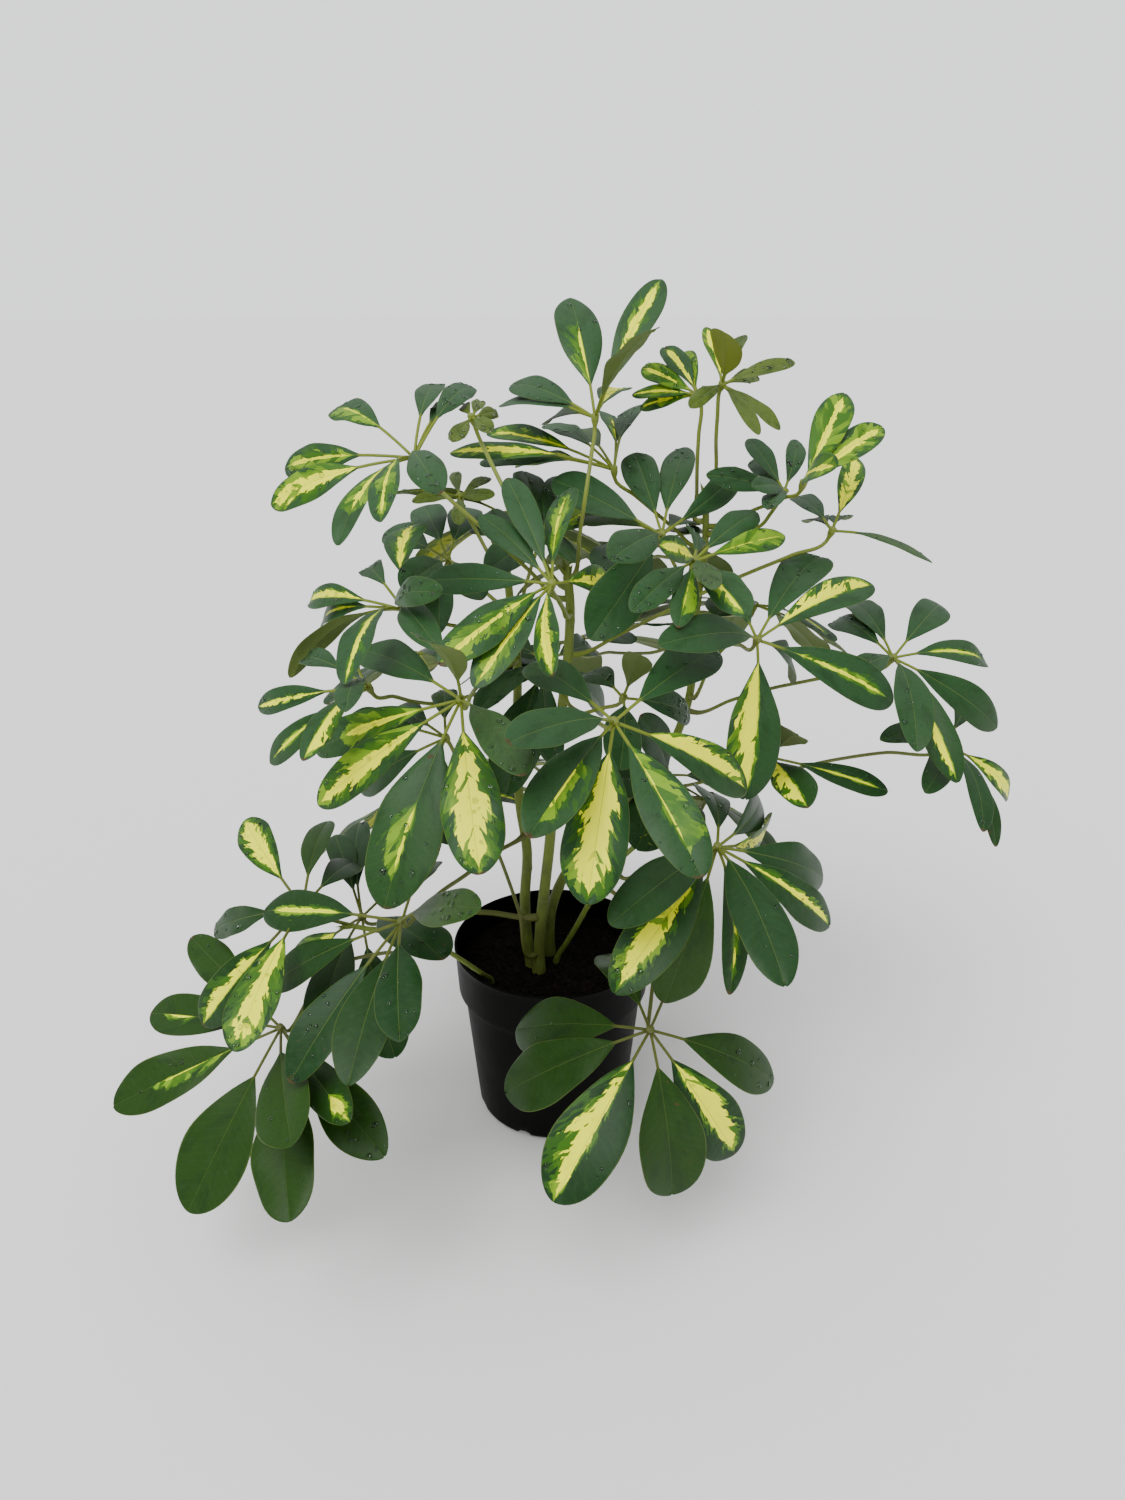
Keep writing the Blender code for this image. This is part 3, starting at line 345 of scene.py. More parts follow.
def pot_outline():
    """The pot's outline, from the middle of its underside round the rim to the middle of its floor. Where it
    flares to the skirt, it follows the S of 3t^2 - 2t^3."""
    step = POT_HEIGHT - SKIRT_HEIGHT
    skirt = WALL_TOP_RADIUS + STEP_WIDTH
    shoulder = wall_radius(step - SHOULDER)
    corner = (wall_radius(FOOT_CORNER) - FOOT_CORNER, FOOT_CORNER)
    climb = np.linspace(FOOT_CORNER, step - SHOULDER, 24)[1:]
    flare = np.linspace(0.0, 1.0, 8)[1:]
    up = np.linspace(0.0, 1.0, 10)[1:]
    down = np.linspace(step - SHOULDER - WALL, POT_FLOOR + FOOT_CORNER, 16)
    return np.concatenate([
        outline_points(np.linspace(POT_MIDDLE, corner[0], 8)[:-1], 0.0),
        arc(corner, FOOT_CORNER, -90, 0, 8),
        outline_points(wall_radius(climb), climb),
        outline_points(shoulder + (skirt - shoulder) * flare**2 * (3 - 2 * flare),
                       step - SHOULDER + SHOULDER * flare),
        outline_points(skirt + (RIM_RADIUS - BEAD - skirt) * up, step + (POT_HEIGHT - ROLL - step) * up),
        arc((RIM_RADIUS - LIP, POT_HEIGHT - LIP), LIP, -30, 180, 12),
        [(RIM_RADIUS - 2 * LIP, POT_HEIGHT - ROLL), (skirt - WALL, step)],
        [(wall_radius(step) - WALL, step - SHOULDER)],
        outline_points(wall_radius(down) - WALL, down),
        arc((corner[0] - WALL, POT_FLOOR + FOOT_CORNER), FOOT_CORNER, 0, -90, 5)[1:],
        [(POT_MIDDLE, POT_FLOOR)],
    ])


def cut_slots(rings):
    """Lifts the foot's edge where a drain slot is, to a rounded arch: height (1 - (offset / half)^4)^0.5."""
    turn = np.arctan2(rings[..., 1], rings[..., 0])
    spacing = 2 * math.pi / SLOT_COUNT
    offset = (turn % spacing - spacing / 2) * FOOT_RADIUS
    arch = np.clip(1 - np.abs(2 * offset / SLOT_WIDTH) ** SLOT_ROUNDING, 0.0, 1.0) ** 0.5
    radius = np.hypot(rings[..., 0], rings[..., 1])
    outer = np.arange(len(rings))[:, None] < len(rings) // 2
    edge = np.clip((radius - FOOT_RADIUS + 2 * FOOT_CORNER) / FOOT_CORNER, 0.0, 1.0) * outer
    rings[..., 2] = np.maximum(rings[..., 2], arch * edge * SLOT_HEIGHT)
    return rings


def plastic_skin():
    """Black plastic: fine grain, soft streaks down the wall where it flowed in the mould, and dust."""
    skin = Skin("black_plastic_wall", Specular_IOR_Level=0.06)
    x, y, z = skin.parts(skin.places())
    grain = skin.noise(skin.places(), 900.0)
    streaks = skin.noise(skin.point(x * 60, y * 60, z * 5), 1.0)
    dust = skin.noise(skin.places(), 38.0, 6.0)
    dusty = (dust + (0.05 - z) * 2.2).fades(0.55, 0.95)
    colour = skin.mix(dusty * 0.7, PLASTIC, PLASTIC_DUST)
    return skin.finish(colour, 0.34 + dust * 0.16 + streaks * 0.10, grain * 0.5 + streaks, 0.22, 0.0006)


pot_rings = cut_slots(turned_rings(pot_outline(), POT_SIDES))
pot = new_piece("nursery_pot", *closed(pot_rings, [(0, 0, 0), (0, 0, POT_FLOOR)]), [plastic_skin()])
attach(pot, "root")
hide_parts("pot")


# Dark, moist potting soil fills the pot to a little under its rim. It lies lumpy, as it was poured and
# watered, with crumbs of peat and bark on it.

SOIL_TOP = 0.140
SOIL_SIDES = 220
SOIL_ROWS = 90
SOIL_RADIUS = 0.0810
SOIL_MIDDLE = 0.010
SOIL_LOW = POT_FLOOR + 0.0006
SOIL_OFF_WALL = ((SOIL_LOW, 0.0065), (0.012, 0.001), (0.112, 0.001))
SOIL_SHOULDER = (0.0795, 0.124)
SOIL_EDGE = 0.003
SOIL_LUMPS = ((60, 0.0011), (140, 0.0009), (330, 0.0008), (700, 0.0005))
SOIL_SEED = 11
CRUMBS = 1500
CRUMB_SEED = 12
CRUMB_SUNK = 0.25
CRUMB_SIZE = (0.0006, 0.0024)
CRUMB_REACH = 0.079
SOIL = (0.0030, 0.0020, 0.0014)
SOIL_LIGHT = (0.019, 0.012, 0.008)


def waves(places, pitch, draw, count=7):
    """A rough relief from -1 to 1: the mean of sine waves in drawn directions, `pitch` radians a metre."""
    way = draw.uniform(0, 2 * math.pi, count)
    phase = draw.uniform(0, 2 * math.pi, count)
    speed = pitch * draw.uniform(0.7, 1.4, count)
    along = places[..., 0, None] * np.cos(way) + places[..., 1, None] * np.sin(way)
    return np.sin(along * speed + phase).mean(axis=-1) * 1.6


def soil_relief(places):
    """How far the soil's top stands above its level: waves of several lengths, the sharper ones smaller."""
    draw = np.random.default_rng(SOIL_SEED)
    return sum(height * waves(places, pitch, draw) for pitch, height in SOIL_LUMPS)


def soil_skin():
    """Moist peat: near black, with paler fibres and crumbs, rough all over."""
    skin = Skin("moist_soil", Specular_IOR_Level=0.1)
    crumbs = skin.parts(skin.cells(skin.places(), 420.0))[0]
    fine = skin.noise(skin.places(), 650.0, 5.0)
    patches = skin.noise(skin.places(), 45.0)
    colour = skin.mix((crumbs * 0.6 + fine * 0.6 + patches * 0.3).fades(0.75, 1.25) * 0.75, SOIL, SOIL_LIGHT)
    return skin.finish(colour, 0.80 + fine * 0.15, crumbs * 0.5 + fine, 0.8, 0.0011)


def soil_rings():
    """The soil's rings: up its side, near the pot's inside, and then inwards over its lumpy top."""
    side = [(wall_radius(height) - WALL - off, height) for height, off in SOIL_OFF_WALL]
    side = [(SOIL_MIDDLE, SOIL_LOW), *side, SOIL_SHOULDER, (SOIL_RADIUS, SOIL_TOP - SOIL_EDGE)]
    top = outline_points(SOIL_RADIUS * np.linspace(0.995, 0.01, SOIL_ROWS), SOIL_TOP)
    rings = turned_rings(np.concatenate([side, top]), SOIL_SIDES)
    rings[len(side):, :, 2] += soil_relief(rings[len(side):])
    return rings


def scattered_crumbs():
    """Corners and faces of many crumbs: an eight-sided lump each, squashed, turned and sunk at random."""
    draw = np.random.default_rng(CRUMB_SEED)
    ball = np.array([(1, 0, 0), (-1, 0, 0), (0, 1, 0), (0, -1, 0), (0, 0, 1), (0, 0, -1)], float)
    sides = [(0, 2, 4), (2, 1, 4), (1, 3, 4), (3, 0, 4), (2, 0, 5), (1, 2, 5), (3, 1, 5), (0, 3, 5)]
    radius = CRUMB_REACH * np.sqrt(draw.uniform(0, 1, CRUMBS))
    turn = draw.uniform(0, 2 * math.pi, CRUMBS)
    place = np.stack([radius * np.cos(turn), radius * np.sin(turn), np.full(CRUMBS, SOIL_TOP)], axis=-1)
    size = CRUMB_SIZE[0] + (CRUMB_SIZE[1] - CRUMB_SIZE[0]) * draw.uniform(0, 1, CRUMBS) ** 3
    place[:, 2] += soil_relief(place) + CRUMB_SUNK * size
    stretch = size[:, None, None] * draw.uniform(0.55, 1.1, (CRUMBS, 6, 1))
    spin = np.linalg.qr(draw.normal(size=(CRUMBS, 3, 3)))[0]
    spin *= np.sign(np.linalg.det(spin))[:, None, None]
    corners = place[:, None] + (ball * stretch) @ spin
    faces = np.array(sides)[None] + 6 * np.arange(CRUMBS)[:, None, None]
    return corners.reshape(-1, 3), faces.reshape(-1, 3).tolist()


soil_top_skin = soil_skin()
soil_shape = closed(soil_rings(), [(0, 0, SOIL_LOW), (0, 0, SOIL_TOP)])
soil = new_piece("potting_soil_fill", *soil_shape, [soil_top_skin])
crumbs = new_piece("soil_crumbs", *scattered_crumbs(), [soil_top_skin])
for piece in (soil, crumbs):
    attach(piece, "root")
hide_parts("soil")


# The stems. Green-brown bark, woody lower down, with a swollen ring and a scar wherever a leaf stood. Each
# is a round tube that tapers a little along a smooth route, stands in the soil, and closes in a blunt tip
# with a few pointed scales round it.

GAP = 0.0003
HOLE_DEPTH = 0.030
STEM_RISE = 0.005
STEM_SIDES = 20
STEM_STEP = 0.0016
NODE_STEP = (0.044, 0.080)
NODES_DRAWN = 40
NODE_SWELL = 0.12
NODE_LENGTH = 0.0023
SCAR_TURN = 900
STEM_FLARE = 0.22
FLARE_LENGTH = 0.009
BUD_LENGTH = 0.007
STEM_SEED = 21
SCALES = 6
SCALE_SIDES = 8
SCALE_LENGTH = (0.008, 0.016)
SCALE_WIDTH = 0.0016
SCALE_THIN = 0.25
SCALE_LEAN = (0.10, 0.65)
SCALE_TURN = 2.4
SCALE_LOOK = (0.0, 1.0, 1.6)
CENTIMETRES = 100
ASIDE = (0.3, 1.0, 0.2)
BARK_GREEN = (0.140, 0.190, 0.020)
BARK_BROWN = (0.076, 0.098, 0.012)
BARK_STRIPE = (0.052, 0.080, 0.014)
BARK_SCAR = (0.155, 0.165, 0.045)


class Stem(NamedTuple):
    """A stem: where it leaves the soil (x, y), the points it passes as (right, down, depth), its radii."""

    foot: tuple
    route: list
    thick: float
    thin: float


STEMS = {
    "stem_main": Stem(
        (-0.0115, -0.015),
        [(540, 935, -0.014), (545, 885, -0.015), (549, 850, -0.017), (555, 780, -0.024), (563, 700, -0.034),
         (569, 640, -0.040), (570, 600, -0.044), (566, 568, -0.046)],
        0.0050, 0.0033,
    ),
    "stem_left": Stem(
        (-0.0185, -0.006),
        [(527, 935, -0.003), (525, 900, 0.0), (527, 850, 0.002), (520, 805, 0.006), (517, 735, 0.009),
         (517, 660, 0.012), (510, 600, 0.015), (506, 560, 0.018)],
        0.0049, 0.0030,
    ),
    "stem_right": Stem(
        (-0.003, 0.011),
        [(551, 912, 0.014), (562, 880, 0.017), (590, 843, 0.022), (622, 812, 0.028), (655, 775, 0.034),
         (686, 709, 0.040), (697, 606, 0.042), (705, 545, 0.044), (706, 494, 0.045)],
        0.0048, 0.0026,
    ),
    "shoot_right": Stem(
        (0.004, -0.003),
        [(573, 932, -0.012), (590, 902, -0.026), (618, 862, -0.052), (642, 840, -0.076)],
        0.0024, 0.0020,
    ),
    "shoot_low_left": Stem(
        (-0.052, -0.0345),
        [(480, 972, -0.054), (457, 957, -0.076), (437, 945, -0.092), (385, 932, -0.112), (345, 925, -0.120)],
        0.0021, 0.0018,
    ),
}


def unit(vector):
    """The vector at length 1."""
    return vector / np.linalg.norm(vector)


def sight(point):
    """The direction in which the eye sees a point of the view."""
    across = (point[0] - VIEW_CENTRE[0]) / VIEW_FOCAL
    up = (VIEW_CENTRE[1] - point[1]) / VIEW_FOCAL
    return unit(VIEW_AHEAD + across * VIEW_RIGHT + up * VIEW_ABOVE)


def seen(point, depth):
    """The place that is seen at a point of the view and lies at y = depth."""
    line = sight(point)
    return VIEW_EYE + line * ((depth - VIEW_EYE[1]) / line[1])


def smooth_route(points, count):
    """Points at even steps along a smooth curve through the given ones: cubic pieces whose slopes agree."""
    points = np.asarray(points, float)
    gaps = np.linalg.norm(np.diff(points, axis=0), axis=1)
    knots = np.concatenate([[0.0], np.cumsum(gaps)])
    slopes = np.gradient(points, knots, axis=0)
    wanted = np.linspace(0.0, knots[-1], count)
    piece = np.clip(np.searchsorted(knots, wanted, side="right") - 1, 0, len(gaps) - 1)
    width = gaps[piece][:, None]
    part = ((wanted - knots[piece]) / gaps[piece])[:, None]
    start = (1 + 2 * part) * (1 - part) ** 2 * points[piece]
    end = part**2 * (3 - 2 * part) * points[piece + 1]
    leave = part * (1 - part) ** 2 * width * slopes[piece]
    arrive = part**2 * (part - 1) * width * slopes[piece + 1]
    return start + end + leave + arrive


def stem_route(stem):
    """A stem's points, from the bottom of its hole in the soil, upright out of it, and on to its top."""
    buried = (*stem.foot, SOIL_TOP - HOLE_DEPTH + GAP)
    foot = (*stem.foot, SOIL_TOP + STEM_RISE)
    above = smooth_route([foot] + [seen(point[:2], point[2]) for point in stem.route], 3 * len(stem.route))
    return np.vstack([buried, above])


def stem_radii(stem, count):
    """A stem's radius at each of its points: it tapers evenly."""
    return np.linspace(stem.thick, stem.thin, count)


def stem_at(stem, height):
    """The middle, the direction and the radius of a stem at a height."""
    route = stem_route(stem)
    radii = stem_radii(stem, len(route))
    after = int(np.argmax(route[:, 2] >= height)) or len(route) - 1
    share = (height - route[after - 1, 2]) / (route[after, 2] - route[after - 1, 2])
    middle = route[after - 1] + share * (route[after] - route[after - 1])
    radius = radii[after - 1] + share * (radii[after] - radii[after - 1])
    return middle, unit(route[after] - route[after - 1]), radius


def ways_round(ahead, turn):
    """Directions square to each one in `ahead`, at each turn about it: across cos a + over sin a."""
    across = np.cross(ahead, ASIDE)
    across /= np.linalg.norm(across, axis=-1, keepdims=True)
    over = np.cross(ahead, across)
    return np.cos(turn)[:, None] * across[..., None, :] + np.sin(turn)[:, None] * over[..., None, :]


def tube_rings(points, radii, sides):
    """Rings round a line of points, square to it: point + radius times each way round."""
    ahead = np.gradient(points, axis=0)
    ahead /= np.linalg.norm(ahead, axis=1)[:, None]
    return points[:, None] + ways_round(ahead, ring_turns(sides)) * radii[..., None]


def distances(points):
    """How far along a line each of its points lies."""
    return np.concatenate([[0.0], np.cumsum(np.linalg.norm(np.diff(points, axis=0), axis=1))])


def bud_scales(points, radius, first, draw):
    """Corners and faces of the pointed scales round a stem's growing tip: flat tubes that lean outwards.

    A scale's line is tip + length t (ahead + lean t out), and its width there that of a lance: sin(pi t^0.7).
    """
    ahead = unit(points[-1] - points[-6])
    t = np.linspace(0.02, 0.98, 9)[:, None]
    turn = ring_turns(SCALE_SIDES)
    flat = np.hypot(np.cos(turn), SCALE_THIN * np.sin(turn))
    corners, faces = [], []
    for scale in range(SCALES):
        out = ways_round(ahead, np.array([SCALE_TURN * scale + draw.uniform(-0.3, 0.3)]))[0]
        length = draw.uniform(*SCALE_LENGTH)
        line = points[-5] + out * radius * 0.5 + length * t * (ahead + draw.uniform(*SCALE_LEAN) * t * out)
        rings = tube_rings(line, SCALE_WIDTH * np.sin(math.pi * t**0.7) * flat, SCALE_SIDES)
        more, sides = closed(rings, first=first + sum(map(len, corners)))
        corners.append(more)
        faces += sides
    return np.concatenate(corners), faces


def stem_piece(name, stem, skin, draw):
    """A stem with its nodes: radius = taper (1 + flare + swellings), each of them a bell curve along it."""
    rough = stem_route(stem)
    points = smooth_route(rough, int(distances(rough)[-1] / STEM_STEP))
    along = distances(points)
    share = along / along[-1]
    nodes = np.cumsum(draw.uniform(*NODE_STEP, NODES_DRAWN)) + HOLE_DEPTH
    nearest = nodes[np.abs(along[:, None] - nodes).argmin(axis=1)]
    off = along - nearest
    swell = NODE_SWELL * np.exp(-((off / NODE_LENGTH) ** 2))
    one_side = 0.5 + 0.5 * np.cos(ring_turns(STEM_SIDES)[None] - (nearest * SCAR_TURN)[:, None])
    flare = STEM_FLARE * np.exp(-((along - HOLE_DEPTH) / FLARE_LENGTH) ** 2)
    taper = stem.thick + (stem.thin - stem.thick) * share
    bud = np.clip((along[-1] - along) / BUD_LENGTH, 0.02, 1.0) ** 0.6
    radii = (taper * bud * (1 + flare))[:, None] * (1 + swell[:, None] * one_side)
    corners, faces = closed(tube_rings(points, radii, STEM_SIDES))
    scales, scale_faces = bud_scales(points, stem.thin, len(corners), draw)
    name = name.replace("stem", "stem_bark").replace("shoot", "shoot_bark")
    piece = new_piece(name, np.concatenate([corners, scales]), faces + scale_faces, [skin])
    lengths = np.stack([CENTIMETRES * along, CENTIMETRES * off, share], axis=-1)
    round_ring = np.repeat(lengths, STEM_SIDES, axis=0)
    young = np.tile(SCALE_LOOK, (len(scales), 1))
    set_attribute(piece, "stem_length", np.concatenate([round_ring, lengths[[0, -1]], young]))
    return piece


def bark_skin():
    """Green bark that turns brown lower down: fine stripes, pale pores, and a scar under each ring."""
    skin = Skin("green_brown_bark", Specular_IOR_Level=0.4)
    along, off, share = skin.attribute("stem_length")
    place = skin.places()
    x, y, z = skin.parts(place)
    stripes = skin.noise(skin.point(x * 900, y * 900, z * 60), 1.0)
    blotches = skin.noise(place, 70.0, 4.0)
    pores = 1 - skin.cells(skin.point(x * 500, y * 500, z * 330), 1.0, "Distance").fades(0.10, 0.26)
    green = skin.mix((share * 1.3 + blotches - 0.4).fades(0.05, 0.85), BARK_BROWN, BARK_GREEN)
    striped = skin.mix(stripes.fades(0.35, 0.75) * 0.35, green, BARK_STRIPE)
    scar = abs(off + 0.16).fades(0.05, 0.14)
    colour = skin.mix(pores * 0.25 + (1 - scar) * 0.40, striped, BARK_SCAR)
    height = stripes * 0.5 + blotches * 0.5 + pores * 0.8 + scar * 0.6
    return skin.finish(colour, 0.52 + blotches * 0.2, height, 0.45, 0.0004)


bark = bark_skin()
node_draw = np.random.default_rng(STEM_SEED)
for name, stem in STEMS.items():
    piece = stem_piece(name, stem, bark, node_draw)
    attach(piece, "root")
    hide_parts(name)


# The leaves, and where they stand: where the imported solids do, by the same rules. Each is a long stalk with a
# knob at its end, from which leathery leaflets spread like the ribs of an umbrella, each on a short stalk.

# Leaf stalks. Where a leaf's facing isn't given, it looks up, outwards and, in front, a little to the light.
FACE_UP = 0.85
FACE_OUT = 0.35
FACE_LIGHT = 0.40
BEHIND = 0.05
STALK_SAG = 0.05
ROUTE_PULL = 0.85
STALK_RADIUS = 0.0015
STALK_FOOT_RADIUS = 0.0025
STALK_RINGS = 5
STALK_LEAVES_STEM = 0.004
KNOB_RADIUS = 0.0031
KNOB_BELOW = 0.0030
KNOB_ABOVE = 0.0024
KNOB_NECK = 0.0035

# Leaflets: a short stalk, then a blade that is widest past its middle, folded up a little along its midrib.
# The leaf table's widths were read a little inside the blades' edges, so they are WIDTH_READ of the widest.
BLADE_RATIO = 0.39
SLIM_RATIO = 0.27
BROAD_RATIO = 0.56
WIDTH_READ = 0.91
BLADE_RISE = 0.90
BLADE_FALL = 0.55
BLADE_WIDEST = BLADE_RISE / (BLADE_RISE + BLADE_FALL)
BLADE_PEAK = BLADE_WIDEST**BLADE_RISE * (1 - BLADE_WIDEST) ** BLADE_FALL
BLADE_STATIONS = (0.0, 0.27, 0.60, 0.88)
YOUNG_STATIONS = (0.0, 0.45, 0.85)
HALF_THICKNESS = 0.0007
LEAFLET_STALK_HALF = 0.0009
LEAFLET_ROOT = 0.0012
LEAST_SHARE = 1e-9
FOLD = 0.13
ARCH = 0.07

# How leaflets give way to each other: what they keep clear, and what they may be instead of the usual (longer
# or shorter, turned, more or less drooping, rolled about the midrib, or some points off in the view).
CLEAR_WIDTH = 0.0012
CLEAR_HALF_THICKNESS = 0.0017
CLEAR_STALK = 0.0010
CLEAR_STEM_SIDES = 6
CLEAR_POT_SIDES = 24
LENGTH_CHOICES = (1.0, 0.95, 1.06, 0.9, 1.12, 0.84, 1.2)
ROLL_CHOICES = np.arange(-75, 76, 15)
OFF_CHOICES = (0, 9, -9, 18, -18)
TURN_CHOICES = (0, 8, -8, 16, -16)
DROOP_CHOICES = (102, 92, 112, 82, 122, 72)
BEND_CHOICES = (0.0, 0.007, -0.007, 0.014, -0.014, 0.022, -0.022)
USUAL_DROOP = 100.0
DROOP_COST = 1 / 40
LENGTH_COST = 4.0
OFF_COST = 1 / 12
ROLL_COST = 1 / 60
WIDTH_COST = 2.6
SIDE_COST = 2.0

# A whorl made by rule: its leaflets' number, and how much they vary (in leaflets, shares and degrees).
RULE_LEAFLETS = 7
RULE_SHIFT = 0.15
RULE_LENGTHS = (0.88, 1.06)
RULE_SINK = (-6.0, 10.0)
RULE_COST = 1 / 20
RULE_ASIDE = (0.6, 0.8, 0.1)
RULE_SEED = 7

NEAR = "near"
FAR = "far"
UNDER = "underside seen"
OTHER_SIDE = {NEAR: FAR, FAR: NEAR}


class Leaf(NamedTuple):
    """A compound leaf: its hub in the view and that hub's depth, the stem and height it grows from, its
    leaflets' length and the share of it that is stalk, each leaflet's tip and width in the view and, where it
    is clear, which side of the hub it lies on and which face it shows (none: a whorl made by rule), the
    points that its stalk passes, the direction that it faces, whether it is young, and how high its leaflets
    arch, as a share of their length."""

    hub: tuple
    depth: float
    stem: str
    height: float
    length: float
    stalk: float
    tips: list
    route: tuple = ()
    faces: tuple = ()
    young: bool = False
    arch: float = ARCH


